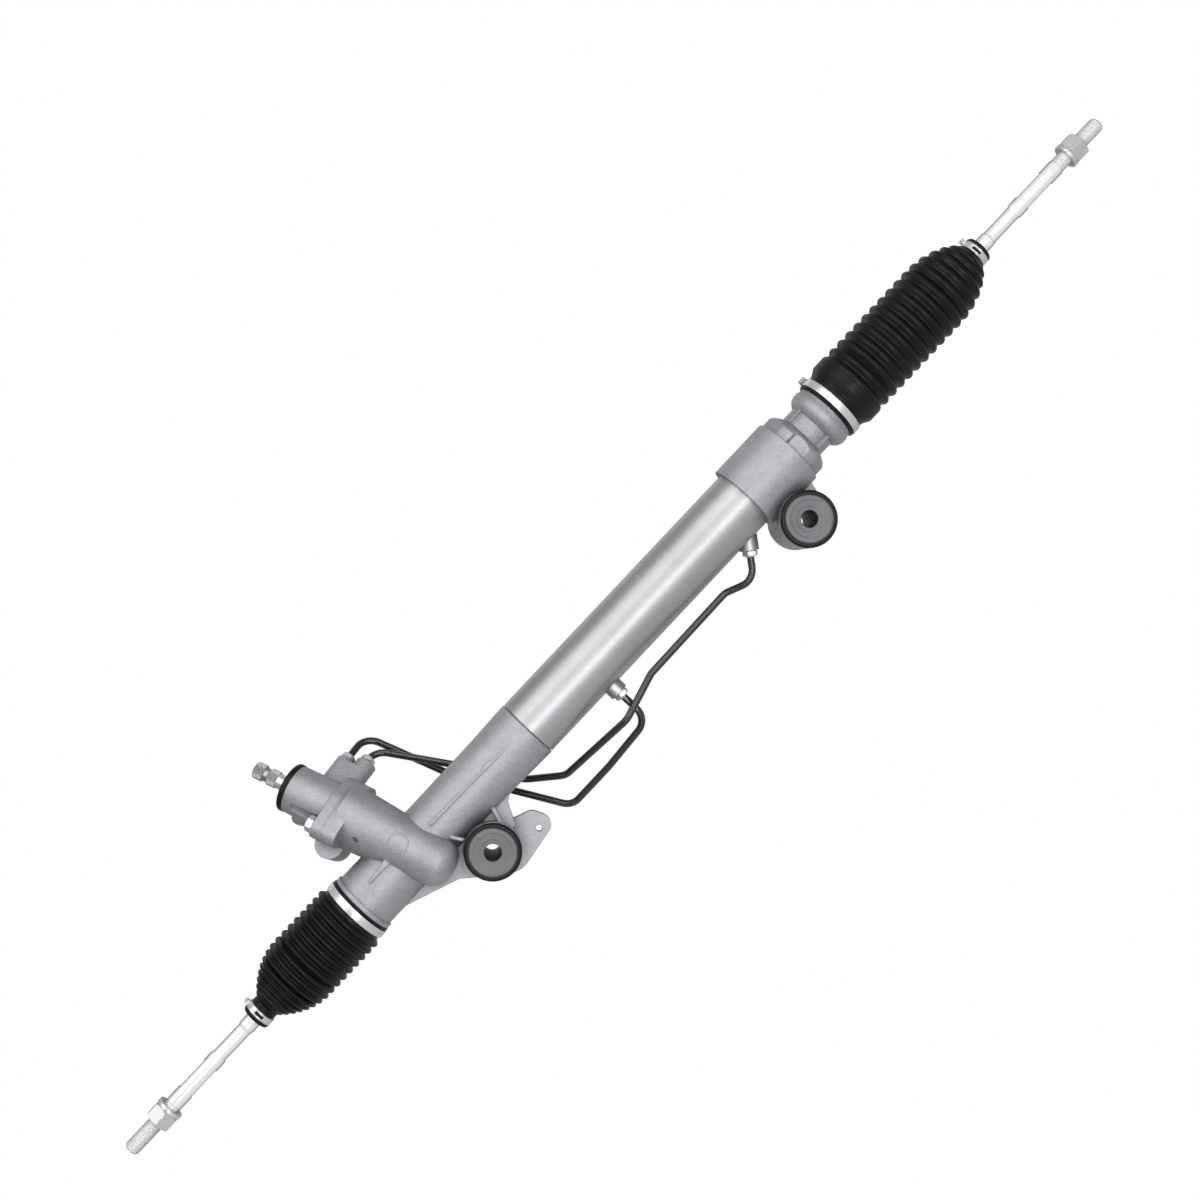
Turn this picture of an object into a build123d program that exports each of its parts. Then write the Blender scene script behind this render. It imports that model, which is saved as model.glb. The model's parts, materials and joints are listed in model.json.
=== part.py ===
from build123d import *
import math
import os

# Hydraulic rack-and-pinion steering gear, in millimetres.
# Origin: centre of the mount eye on the pinion side. +X runs along the rack to the cylinder end,
# +Z is up, and -Y is the side that the mount bushes show their steel discs on.

# Rack axis and mount eyes
rack_height = 49.0
eye_spacing = 392.0
eye_drop = 2.0
eye_bore_radius = 7.5
eye_sleeve_wall = 3.0
eye_rubber_radius = 21.0
eye_flange_radius = 25.0
eye_boss_radius = 25.0
eye_boss_front = -25.0
eye_boss_length = 68.0
eye_flange_thick = 4.5
eye_disc_radius = 21.2
eye_disc_thick = 2.5

# Travel of the rack from the position shown, and running clearances
travel_left = 102.0
travel_right = 42.0
stop_gap = 0.5
running_gap = 0.05
soft_gap = 0.3

# Pinion axis: leans towards -X going up, and its top leans away to +Y
pinion_cross_x = -46.6
pinion_lean = 17.37
pinion_back_tilt = 17.78

# Rack and pinion toothing, measured square to the pinion axis
tooth_module = 2.0
pinion_teeth = 7
pressure_angle = 25.0
tooth_addendum = 1.8
tooth_root_gap = 0.45
tooth_backlash = 0.16
pinion_face = 34.0
rack_flat_height = 9.5
rack_teeth_right_end = 67.0
rack_teeth_left_end = -100.0

# Rack bar, piston and cylinder
rack_radius = 13.0
piston_x = 286.0
piston_width = 16.0
piston_ring_width = 3.0
cylinder_outer_radius = 28.5
cylinder_wall = 3.0
cylinder_left_end = 62.0
cylinder_right_end = eye_spacing + 6.0
cylinder_shoulder_gap = 0.8
cylinder_spigot_radius = 26.3
cylinder_spigot_bore = 23.5
rod_seal_width = 8.0
seal_carrier_x = 140.0
seal_carrier_width = 20.0

# Gear housing along the rack
stop_left = -90.0
spigot_left_end = -122.0
lip_left = -109.0
sleeve_radius = 28.5
lip_radius = 30.0
spigot_radius = 27.6
tube_radius = 27.2
tube_end_radius = 29.0
housing_right_end = 96.0
rack_way_radius = 16.5
stop_recess_radius = 22.0
left_bush_length = 18.0
web_thick = 16.0

# Tower round the pinion, measured along the pinion axis from the rack crossing
tower_radius = 27.3
tower_top = 67.6
tower_flange_thick = 14.0
tower_taper_start = 53.0
tower_low_radius = 22.2
tower_low = -17.0
tower_round_start = -29.0
tower_bottom = -42.0
tower_end_flat = 8.0
side_boss_radius = 13.0
side_boss_level = 64.0
side_boss_out = 28.0
lower_bearing_radius = 11.0
lower_bearing_width = 10.0
lower_journal_radius = 6.0
upper_bearing_radius = 20.0
upper_bearing_width = 12.0
pinion_shank_radius = 10.0

# Valve housing
barrel_radius_top = 21.5
barrel_radius_base = 23.0
barrel_top = 116.0
flange_thick = 9.0
flange_core_radius = 23.5
bolt_circle_radius = 29.0
bolt_lug_radius = 10.0
bolt_front_angle = 139.0
bolt_rear_angle = -20.0
bolt_radius = 4.0
bolt_reach = 11.0
bolt_head_flat = 13.0
bolt_head_height = 6.0
port_turn = 32.0
port_upper_k = 94.2
port_lower_k = 78.5
port_upper_reach = 49.0
port_lower_reach = 56.0
port_boss_radius = 8.0
port_boss_skirt = 2.8
port_block_reach = port_upper_reach - 4.0
port_thread_radius = 5.5
port_thread_depth = 12.0
hose_port_angle = 48.0
hose_port_upper_k = 104.0
hose_port_lower_k = 84.5
hose_port_reach = 28.0
hose_port_radius = 6.6
hose_port_depth = 11.0
hose_boss_radius = 9.2

# Rotary valve and input shaft
valve_sleeve_radius = 16.0
valve_sleeve_bottom = 56.0
valve_sleeve_top = 102.0
input_core_radius = 10.5
torsion_bar_radius = 3.6
torsion_bar_bottom = 26.0
input_journal_radius = 8.9
input_bearing_radius = 12.5
input_bearing_width = 7.0
input_seal_width = 5.0
input_neck_radius = 6.6
input_spline_radius = 7.6
input_end = 156.0
input_spline_length = 24.0
cap_radius = 22.0
cap_height = 6.3
cap_wall = 2.0
cap_hole_radius = 9.4

# Rack guide behind the rack
guide_radius = 15.0
guide_length = 24.0
guide_liner_thick = 1.2
guide_spring_height = 4.0
guide_plug_radius = 17.0
guide_plug_length = 12.0
guide_boss_radius = 22.0
guide_nut_width = 6.0
guide_nut_radius = 23.0

# Cylinder end housing, placed from the mount eye on its side
end_body_start = eye_spacing - 22.5
end_body_end = eye_spacing + 33.5
end_body_radius = 33.6
collar_end = end_body_end + 17.0
collar_radius = 31.4
neck_end = eye_spacing + 63.5
neck_radius = 22.3
boot_flange_end = eye_spacing + 81.6
boot_flange_radius = 29.4
spigot_right_end = boot_flange_end + 13.4
stop_right = eye_spacing + 66.0
end_bush_length = 16.0

# Tie rods, measured outwards from the ball centre
ball_radius = 13.5
ball_seat_thick = 2.3
ball_to_shoulder = 26.0
socket_length = 37.0
socket_radius = 19.0
swing_limit = 15.0
swing_room = 1.5
rod_neck_radius = 6.0
rod_land_radius = 7.25
rod_land_start = 70.0
rod_land_end = 98.0
rod_waist_radius = 6.45
rod_waist_end = 131.0
rod_body_radius = 7.5
rod_body_end = 185.5
rod_thread_radius = 7.0
rod_end = 238.5
jam_nut_flat = 22.0
jam_nut_width = 14.0
jam_nut_collar = 4.0
nut_thread_depth = 0.45
nut_end_relief = 1.0
jam_nut_left_at = 188.5
jam_nut_right_at = 196.5
clip_centre = 79.0
clip_width = 6.5
clip_thick = 1.2

# Bellows
bellows_crest_radius = 34.0
bellows_fold_depth = 7.5
bellows_wall = 1.6
bellows_cuff_radius = 29.8
bellows_small_radius = 11.2
bellows_cuff_length = 13.0
bellows_taper = 34.0
bellows_folds_left = 14
bellows_folds_right = 16
clamp_thick = 1.6
clamp_gap = 0.15
clamp_width = 7.0

# Steel pipes
pipe_radius = 3.2
pipe_bend = 15.0
pipe_nut_flat = 12.0
pipe_nut_length = 5.5
pipe_nut_shank = 3.5
pipe_end_inside = 4.0
port_a_x = 172.8
port_b_x = eye_spacing - 47.0
port_block_radius = 8.5
port_block_length = 8.0
port_b_tilt = 38.0

eye_back = eye_boss_front + eye_boss_length
lean = math.radians(pinion_lean)
tilt = math.radians(pinion_back_tilt)
pinion_pitch_radius = tooth_module * pinion_teeth / 2
centre_distance = pinion_pitch_radius - tooth_addendum + rack_flat_height
up_axis = Vector(-math.sin(lean), math.cos(lean) * math.sin(tilt), math.cos(lean) * math.cos(tilt))
to_rack = Vector(0, math.cos(tilt), -math.sin(tilt))
pinion_origin = Vector(pinion_cross_x, 0, rack_height) - to_rack * centre_distance
pinion_frame = Plane(origin=pinion_origin, x_dir=to_rack, z_dir=up_axis)
guide_frame = Plane(origin=(pinion_cross_x, 0, rack_height), x_dir=(1, 0, 0), z_dir=to_rack)

shoulder_left = stop_left - stop_gap - travel_right
shoulder_right = stop_right + stop_gap + travel_left
ball_left = shoulder_left - ball_to_shoulder
ball_right = shoulder_right + ball_to_shoulder
socket_bore_radius = ball_radius + ball_seat_thick
cylinder_bore_radius = cylinder_outer_radius - cylinder_wall


def along_rack(x_start, x_end, radius):
    """A round bar on the rack axis."""
    middle = (x_start + x_end) / 2
    return Pos(middle, 0, rack_height) * Rot(0, 90, 0) * Cylinder(radius, x_end - x_start)


def ring_on_rack(x_start, x_end, outer, inner):
    """A ring on the rack axis."""
    return along_rack(x_start, x_end, outer) - along_rack(x_start - 1, x_end + 1, inner)


def turned_on_rack(profile, direction=1, from_x=0.0):
    """Turn (distance, radius) corners round the rack axis; direction -1 faces -X."""
    corners = [(from_x + direction * step, rack_height + radius) for step, radius in profile]
    line = Polyline([(x, 0, z) for x, z in corners], close=True)
    axis = Axis((0, 0, rack_height), (1, 0, 0))
    return revolve(make_face(line), axis)


def on_pinion(k_start, k_end, radius):
    """A round bar on the pinion axis."""
    return pinion_frame * Pos(0, 0, (k_start + k_end) / 2) * Cylinder(radius, k_end - k_start)


def cone_on_pinion(k_start, k_end, radius_start, radius_end):
    return pinion_frame * Pos(0, 0, (k_start + k_end) / 2) * Cone(radius_start, radius_end, k_end - k_start)


def ring_on_pinion(k_start, k_end, outer, inner):
    return on_pinion(k_start, k_end, outer) - on_pinion(k_start - 1, k_end + 1, inner)


def on_guide(d_start, d_end, radius):
    """A round bar on the rack guide's axis, measured back from the rack axis."""
    return guide_frame * Pos(0, 0, (d_start + d_end) / 2) * Cylinder(radius, d_end - d_start)


def on_eye(centre_x, centre_z, y_start, y_end, radius):
    """A round bar on a mount eye's axis."""
    place = Pos(centre_x, (y_start + y_end) / 2, centre_z)
    return place * Rot(90, 0, 0) * Cylinder(radius, y_end - y_start)


def polar(radius, angle):
    return radius * math.cos(math.radians(angle)), radius * math.sin(math.radians(angle))


def port_frame(angle, k):
    """A frame whose z runs out of the valve housing, square to the pinion axis."""
    x, y = polar(1.0, angle)
    spot = pinion_frame.from_local_coords(Vector(0, 0, k))
    out = pinion_frame.from_local_coords(Vector(x, y, k)) - spot
    return Plane(origin=spot, x_dir=up_axis, z_dir=out)


def hex_prism(flat, height):
    return extrude(RegularPolygon(flat / 2, 6, major_radius=False), height)


# Toothing
def tooth_space_half_angle(radius):
    """Half angle of the pinion's tooth space at a radius, swept out by the rack tooth."""
    half_width = math.pi * tooth_module / 4 + tooth_backlash / 2
    slope = math.tan(math.radians(pressure_angle))
    reach = pinion_pitch_radius - tooth_addendum - tooth_root_gap
    best = 0.0
    for step in range(-400, 401):
        psi = step / 400 * 1.2
        if radius * math.cos(psi) < reach:
            continue
        room = half_width + (radius * math.cos(psi) - pinion_pitch_radius) * slope
        angle = (room - radius * math.sin(psi)) / pinion_pitch_radius + psi
        best = max(best, angle)
    return best


def pinion_outline():
    """Closed outline of the pinion's teeth, generated from the rack that it runs on."""
    root = pinion_pitch_radius - tooth_addendum - tooth_root_gap
    tip = pinion_pitch_radius + tooth_addendum
    steps = 7
    radii = [root + (tip - root) * i / steps for i in range(steps + 1)]
    half_pitch = math.pi / pinion_teeth
    flank = []
    for radius in radii:
        half_tooth = half_pitch - tooth_space_half_angle(radius)
        flank.append((radius, max(half_tooth, 0.02)))
    points = []
    for tooth in range(pinion_teeth):
        centre = (2 * tooth + 1) * half_pitch
        for radius, half in flank:
            points.append((radius * math.cos(centre - half), radius * math.sin(centre - half)))
        for radius, half in reversed(flank):
            points.append((radius * math.cos(centre + half), radius * math.sin(centre + half)))
    return make_face(Polyline(points, close=True))


def rack_gap_cutter():
    """Every tooth gap of the rack, as prisms parallel to the pinion axis."""
    pitch = math.pi * tooth_module
    slope = math.tan(math.radians(pressure_angle))
    tip_plane = pinion_pitch_radius - tooth_addendum
    root_plane = pinion_pitch_radius + tooth_addendum + tooth_root_gap
    half_pitch_gap = pitch / 4 + tooth_backlash / 2
    wide = half_pitch_gap + tooth_addendum * slope
    narrow = half_pitch_gap - (root_plane - pinion_pitch_radius) * slope
    first = math.ceil((pinion_cross_x - rack_teeth_right_end) * math.cos(lean) / pitch)
    last = math.floor((pinion_cross_x - rack_teeth_left_end) * math.cos(lean) / pitch)
    over = 1.0
    prisms = []
    for index in range(first, last):
        middle = (index + 0.5) * pitch
        corners = [
            (tip_plane - over, middle - wide - over * slope),
            (tip_plane - over, middle + wide + over * slope),
            (root_plane, middle + narrow),
            (root_plane, middle - narrow),
        ]
        gap = make_face(Polyline(corners, close=True))
        along = middle * math.tan(lean)
        prisms.append(pinion_frame * Pos(0, 0, along) * extrude(gap, rack_radius * 1.5, both=True))
    return prisms


# Rack body
def rack_bar():
    bar = along_rack(shoulder_left, shoulder_right, rack_radius)
    half = (rack_teeth_right_end - rack_teeth_left_end) / 2
    middle = (rack_teeth_right_end + rack_teeth_left_end) / 2
    depth = rack_radius
    level = centre_distance - rack_flat_height
    flat_frame = Plane(origin=pinion_origin, x_dir=(1, 0, 0), z_dir=to_rack)
    flat_cut = flat_frame * Pos(middle - pinion_cross_x, 0, level - depth / 2) * Box(2 * half, 40, depth)
    bar -= flat_cut
    return bar - rack_gap_cutter()


def piston():
    body = ring_on_rack(piston_x - piston_width / 2, piston_x + piston_width / 2,
                        cylinder_bore_radius - 0.5, rack_radius)
    groove = ring_on_rack(piston_x - piston_ring_width / 2, piston_x + piston_ring_width / 2,
                          cylinder_bore_radius + 1, cylinder_bore_radius - 3)
    return body - groove


def piston_ring():
    return ring_on_rack(piston_x - piston_ring_width / 2, piston_x + piston_ring_width / 2,
                        cylinder_bore_radius - running_gap, cylinder_bore_radius - 3)


def opening_profile():
    """Mouth of the ball socket: the neck's room at full swing both ways, from the ball outwards."""
    swing = math.radians(swing_limit * math.sqrt(2) + swing_room)
    start = 7.6
    end = socket_length - ball_to_shoulder + 2
    low = start * math.tan(swing) + rod_neck_radius / math.cos(swing)
    high = end * math.tan(swing) + rod_neck_radius / math.cos(swing)
    return start, low, end, high


def ball_socket(shoulder, direction):
    """Turned socket on the rack's end, with spanner flats and a rolled mouth."""
    profile = [(0, 0), (0, 14.5), (3, socket_radius - 1.5), (5, socket_radius), (27, socket_radius),
               (socket_length, socket_radius - 4), (socket_length, 0)]
    body = turned_on_rack(profile, direction, shoulder)
    centre = shoulder + direction * ball_to_shoulder
    body -= Pos(centre, 0, rack_height) * Sphere(socket_bore_radius + running_gap)
    start, low, end, high = opening_profile()
    mouth = [(start - 4, 0), (start - 4, low), (start, low), (end, high), (end, 0)]
    body -= turned_on_rack(mouth, direction, centre)
    for side in (-1, 1):
        flat_level = rack_height + side * (socket_radius + 8.5)
        body -= Pos(shoulder + direction * 16, 0, flat_level) * Box(12, 60, 20)
    return body


def ball_seat(centre, direction):
    """Plastic cup between ball and socket."""
    seat = Pos(centre, 0, rack_height) * Sphere(socket_bore_radius)
    seat -= Pos(centre, 0, rack_height) * Sphere(ball_radius + running_gap)
    start, low, end, high = opening_profile()
    mouth = [(start - 4, 0), (start - 4, low), (start, low), (end + 10, high + 4), (end + 10, 0)]
    return seat - turned_on_rack(mouth, direction, centre)


def tie_rod(centre, direction, nut_start):
    """Inner tie rod: neck, land for the bellows, waist, body and threaded end."""
    neck_start = math.sqrt(ball_radius ** 2 - rod_neck_radius ** 2)
    relief_end = nut_start + jam_nut_collar + jam_nut_width + nut_end_relief
    profile = [
        (neck_start - 5, 0),
        (neck_start - 5, rod_neck_radius),
        (rod_land_start - 2, rod_neck_radius),
        (rod_land_start, rod_land_radius),
        (rod_land_end - 2, rod_land_radius),
        (rod_land_end, rod_waist_radius),
        (rod_waist_end - 2, rod_waist_radius),
        (rod_waist_end, rod_body_radius),
        (rod_body_end - 1, rod_body_radius),
        (rod_body_end, rod_thread_radius - nut_thread_depth),
        (relief_end, rod_thread_radius - nut_thread_depth),
        (relief_end, rod_thread_radius),
        (rod_end - 1.5, rod_thread_radius),
        (rod_end, rod_thread_radius - 1.5),
        (rod_end, 0),
    ]
    return turned_on_rack(profile, direction, centre)


def tie_rod_ball(centre, direction):
    """Hardened ball welded on the tie rod's neck."""
    return Pos(centre, 0, rack_height) * Sphere(ball_radius) - tie_rod(centre, direction, jam_nut_left_at)


def jam_nut(centre, direction, start):
    """Hexagon nut with a round collar on its inner face."""
    turn = Rot(0, 90 * direction, 0)
    hexagon = Pos(centre + direction * (start + jam_nut_collar), 0, rack_height) * turn
    nut = hexagon * hex_prism(jam_nut_flat, jam_nut_width)
    collar = sorted([centre + direction * start, centre + direction * (start + jam_nut_collar)])
    nut += along_rack(collar[0], collar[1], jam_nut_flat / 2 + 0.9)
    ends = sorted([centre + direction * (start - 1), centre + direction * (start + 30)])
    return nut - along_rack(ends[0], ends[1], rod_thread_radius - nut_thread_depth)


def small_clip(centre, direction):
    """Spring clip round the bellows' small end, with its two ears."""
    middle = centre + direction * clip_centre
    inner = bellows_small_radius + soft_gap
    clip = ring_on_rack(middle - clip_width / 2, middle + clip_width / 2, inner + clip_thick, inner)
    for side in (-1, 1):
        ear = Box(clip_width * 0.5, clip_thick, 5)
        clip += Pos(middle + direction * side * 1.2, side * 1.6, rack_height + inner + 3) * ear
    return clip


# Pinion and valve
def pinion():
    teeth = pinion_frame * extrude(pinion_outline(), pinion_face / 2, both=True)
    gear = teeth + on_pinion(-pinion_face / 2 - 3, -pinion_face / 2, lower_journal_radius + 1.5)
    gear += on_pinion(lower_bearing_bottom() - 1, -pinion_face / 2, lower_journal_radius)
    gear += on_pinion(pinion_face / 2, valve_sleeve_bottom - 0.5, pinion_shank_radius)
    gear += on_pinion(tower_top - 21.5, valve_sleeve_bottom, valve_sleeve_radius - 1)
    gear -= on_pinion(torsion_bar_bottom, valve_sleeve_bottom + 1, torsion_bar_radius + soft_gap)
    return gear


def lower_bearing_bottom():
    return -pinion_face / 2 - 3 - lower_bearing_width


def pinion_lower_bearing():
    bottom = lower_bearing_bottom()
    return ring_on_pinion(bottom, bottom + lower_bearing_width, lower_bearing_radius,
                          lower_journal_radius + running_gap)


def pinion_upper_bearing():
    top = tower_top - 22
    return ring_on_pinion(top - upper_bearing_width, top, upper_bearing_radius,
                          pinion_shank_radius + running_gap)


def valve_sleeve():
    """Rotary valve sleeve with its ring grooves."""
    sleeve = ring_on_pinion(valve_sleeve_bottom, valve_sleeve_top, valve_sleeve_radius,
                            input_core_radius + running_gap)
    room = valve_sleeve_top - valve_sleeve_bottom
    for share in (0.2, 0.4, 0.6, 0.8):
        level = valve_sleeve_bottom + share * room
        sleeve -= ring_on_pinion(level - 1.5, level + 1.5, valve_sleeve_radius + 1, valve_sleeve_radius - 1.5)
    return sleeve


def input_shaft():
    shaft = on_pinion(valve_sleeve_bottom + 1, valve_sleeve_top, input_core_radius)
    shaft += on_pinion(valve_sleeve_top, barrel_top + cap_height + 2, input_journal_radius)
    shaft += on_pinion(barrel_top + cap_height, input_end - input_spline_length, input_neck_radius)
    shaft += on_pinion(input_end - input_spline_length, input_end - 1.2, input_spline_radius)
    shaft += cone_on_pinion(input_end - 1.2, input_end, input_spline_radius, input_spline_radius - 1.2)
    groove = ring_on_pinion(input_end - 15, input_end - 9, input_spline_radius + 2, input_spline_radius - 1.4)
    shaft -= groove
    shaft -= on_pinion(valve_sleeve_bottom, input_end - input_spline_length, torsion_bar_radius)
    return shaft


def torsion_bar():
    return on_pinion(torsion_bar_bottom + 1, input_end - input_spline_length, torsion_bar_radius)


# Housing
def flange_outline(extra=0.0):
    """Flange shared by tower and valve housing: lugs joined to the core by tangents."""
    shape = Circle(flange_core_radius + extra)
    for angle in (bolt_front_angle, bolt_rear_angle):
        x, y = polar(bolt_circle_radius, angle)
        shape += Pos(x, y) * Circle(bolt_lug_radius + extra)
    x, y = polar(12, -90 + port_turn)
    shape += Pos(x, y) * Circle(flange_core_radius - 3 + extra)
    return make_hull(shape.edges())


def bolt_points():
    return [polar(bolt_circle_radius, angle) for angle in (bolt_front_angle, bolt_rear_angle)]


def eye_positions():
    return [(0.0, 0.0), (eye_spacing, -eye_drop)]


def eye_boss(centre_x, centre_z):
    return on_eye(centre_x, centre_z, eye_boss_front, eye_boss_front + eye_boss_length, eye_boss_radius)


def plate_xz(points, y_start, y_end):
    """Flat web in the XZ plane between two y levels."""
    face = make_face(Polyline([(x, 0, z) for x, z in points], close=True))
    return Pos(0, y_start, 0) * extrude(face, y_end - y_start, dir=(0, 1, 0))


def gear_housing():
    """Cast housing: sleeve, tower, rack tube, mount eye, webs and drilled tab."""
    body = along_rack(spigot_left_end, lip_left - 2, spigot_radius)
    body += along_rack(lip_left - 2, lip_left + 2, lip_radius)
    body += along_rack(lip_left + 2, pinion_cross_x, sleeve_radius)
    span = housing_right_end - pinion_cross_x
    tube = [(0, 0), (0, tube_radius), (span * 0.7, tube_radius + 0.5), (span - 1, tube_end_radius),
            (span, tube_end_radius - 1), (span, 0)]
    body += turned_on_rack(tube, 1, pinion_cross_x)
    body += tower()
    flange_frame = pinion_frame * Pos(0, 0, tower_top - tower_flange_thick)
    body += flange_frame * extrude(flange_outline(), tower_flange_thick)
    body += side_boss(tower_top - 40, tower_top)
    body += on_guide(0, guide_plug_end(), guide_boss_radius)
    body += eye_boss(0.0, 0.0)
    body += gear_webs()
    body += gear_tab()
    return body - housing_bores()


def tower():
    """Round tower on the pinion axis, tapering to a closed, rounded end."""
    points = [(0, tower_top - 3), (tower_radius, tower_top - 3), (tower_radius, tower_taper_start),
              (tower_low_radius, tower_low)]
    depth = tower_round_start - tower_bottom
    reach = tower_low_radius - 1.2 - tower_end_flat
    for step in range(6):
        turn = math.radians(step * 18)
        points.append((tower_end_flat + reach * math.cos(turn), tower_round_start - depth * math.sin(turn)))
    points.append((0, tower_bottom))
    face = make_face(Polyline([(r, 0, k) for r, k in points], close=True))
    return pinion_frame * revolve(face, Axis.Z)


def side_boss(k_start, k_end):
    """Round boss behind the front bolt, cut between two levels of the pinion axis."""
    frame = pinion_frame * Pos(8, side_boss_out, side_boss_level) * Rot(0, 90, 0)
    boss = frame * Cylinder(side_boss_radius, 26)
    root = Box(26, side_boss_out, 2 * side_boss_radius - 4)
    boss += pinion_frame * Pos(8, side_boss_out / 2, side_boss_level) * root
    return boss & on_pinion(k_start, k_end, 3 * side_boss_out)


def gear_webs():
    """Webs and raised ribs of the gear housing."""
    high = rack_height - 9
    outline = [(-96, high - 8), (-92, 22.5), (-84, 20.5), (-63, 12.7), (-48, 7.3), (-37.5, 3.3),
               (-31, -3), (-20, -12), (20, 0), (29, 0), (30.5, 4), (34, 11), (38, 18), (44, 21.5),
               (52, high - 15), (56, high - 10), (56, high), (-96, high)]
    webs = plate_xz(outline, -web_thick / 2, web_thick / 2 + 12)
    curved = [(29.5, high), (28.8, 27), (24.6, 14), (20, 5), (16, 7), (21.4, 15), (25.4, 28), (26, high)]
    webs += plate_xz(curved, -web_thick / 2 - 5, 0)
    low_curve = [(-14, high + 6), (-18, high + 1), (-16, 33), (-11, 25), (-8, 25), (-12.5, 33), (-14.5, high)]
    webs += plate_xz(low_curve, -tube_radius + 3, 0)
    crest = rack_height + 10
    rib = [(-90, crest + 0.8), (-76, crest + 2), (-66, crest + 4.5), (-58, crest + 5), (-58, crest - 2),
           (-66, crest - 1.6), (-76, crest - 1), (-90, crest - 0.8)]
    webs += plate_xz(rib, -sleeve_radius + 0.2, 0)
    line = rack_height + 4
    seam = [(-20, line + 3), (44, line + 1.5), (48, line + 3.4), (53, line + 3), (56, line + 0.8),
            (88, line + 1.6), (88, line + 0.2), (56, line - 0.8), (44, line - 0.2), (-20, line + 1)]
    return webs + plate_xz(seam, -tube_radius - 1.1, 0)


def facing_front(outline, y_start, y_end):
    """A flat outline drawn in X and Z, thickened between two y levels."""
    frame = Plane(origin=(0, y_start, 0), x_dir=(1, 0, 0), z_dir=(0, -1, 0))
    return extrude(frame * outline, y_end - y_start, dir=(0, 1, 0))


def gear_tab():
    """Thin drilled tab beside the mount eye, drawn round three circles."""
    circles = Pos(39.5, -10) * Circle(9.8) + Pos(42.2, -16.4) * Circle(9.8) + Pos(8, -10) * Circle(21.5)
    tab = facing_front(make_hull(circles.edges()), 4, 12)
    return tab - on_eye(39.6, -18, 0, 20, 2.9)


def guide_plug_end():
    return guide_start() + guide_length + guide_spring_height + guide_plug_length


def guide_start():
    return 3.0


def housing_bores():
    """Everything that is bored out of the gear housing."""
    bores = [
        along_rack(spigot_left_end - 1, stop_left, stop_recess_radius),
        along_rack(stop_left - 1, cylinder_left_end, rack_way_radius),
        along_rack(cylinder_left_end, housing_right_end + 1, cylinder_spigot_radius),
        on_pinion(-pinion_face / 2 - 2.5, tower_top - 22 - upper_bearing_width, rack_way_radius),
        on_pinion(lower_bearing_bottom(), -pinion_face / 2 - 2, lower_bearing_radius),
        on_pinion(lower_bearing_bottom() - 2, lower_bearing_bottom() + 1, lower_journal_radius + 2),
        on_pinion(tower_top - 22 - upper_bearing_width, tower_top + 1, upper_bearing_radius),
        on_guide(0, guide_start() + guide_length + guide_spring_height, guide_radius),
        on_guide(guide_plug_end() - guide_plug_length, guide_plug_end() + 30, guide_plug_radius),
        on_eye(0, 0, eye_boss_front - 1, eye_back + 1, eye_rubber_radius),
        on_eye(0, 0, eye_boss_front - 30, eye_boss_front, eye_flange_radius + soft_gap),
    ]
    for x, y in bolt_points():
        drill = Pos(x, y, tower_top) * Cylinder(bolt_radius, 2 * bolt_reach + 2)
        bores.append(pinion_frame * drill)
    return bores


def pipe_ports():
    """The two transfer pipe ports: place on the pinion axis, reach and depth of the skirt below."""
    return [(port_upper_k, port_upper_reach, 0.0), (port_lower_k, port_lower_reach, port_boss_skirt)]


def port_outline(skirt):
    """Round boss drawn out downwards, along the pinion axis."""
    if skirt == 0:
        return Circle(port_boss_radius)
    return Pos(-skirt / 2, 0) * SlotCenterToCenter(skirt, 2 * port_boss_radius)


def valve_housing():
    """Cast valve housing: barrel, flange, two pipe unions and two hose ports."""
    body = cone_on_pinion(tower_top, barrel_top, barrel_radius_base, barrel_radius_top)
    body += pinion_frame * Pos(0, 0, tower_top) * extrude(flange_outline(), flange_thick)
    body += side_boss(tower_top, tower_top + 30)
    between = SlotCenterToCenter(port_upper_k - port_lower_k, 2 * port_boss_radius)
    block_frame = port_frame(-90 + port_turn, (port_upper_k + port_lower_k) / 2)
    body += block_frame * extrude(between, port_block_reach)
    for k, reach, skirt in pipe_ports():
        frame = port_frame(-90 + port_turn, k)
        body += frame * extrude(port_outline(skirt), reach - 2)
        body += frame * Pos(0, 0, reach - 1) * Cone(port_boss_radius, port_boss_radius - 1.5, 2)
    for k in (hose_port_upper_k, hose_port_lower_k):
        frame = port_frame(hose_port_angle, k)
        body += frame * Pos(0, 0, hose_port_reach / 2) * Cylinder(hose_boss_radius, hose_port_reach)
    bore_top = valve_sleeve_top + 1
    body -= on_pinion(tower_top - 1, bore_top, valve_sleeve_radius + running_gap)
    body -= on_pinion(bore_top - 1, bore_top + input_bearing_width + input_seal_width, input_bearing_radius)
    body -= on_pinion(bore_top, barrel_top + 1, input_journal_radius + 1)
    for k, reach, _ in pipe_ports():
        frame = port_frame(-90 + port_turn, k)
        body -= frame * Pos(0, 0, reach) * Cylinder(port_thread_radius, 2 * port_thread_depth)
        body -= frame * Pos(0, 0, reach / 2) * Cylinder(2, reach)
    for k in (hose_port_upper_k, hose_port_lower_k):
        frame = port_frame(hose_port_angle, k)
        body -= frame * Pos(0, 0, hose_port_reach) * Cylinder(hose_port_radius, 2 * hose_port_depth)
    for x, y in bolt_points():
        body -= pinion_frame * Pos(x, y, tower_top) * Cylinder(bolt_radius, 4 * flange_thick)
        body -= pinion_frame * Pos(x, y, tower_top + flange_thick + 15) * Cylinder(bolt_head_flat / 2 + 2, 30)
    return body


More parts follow.
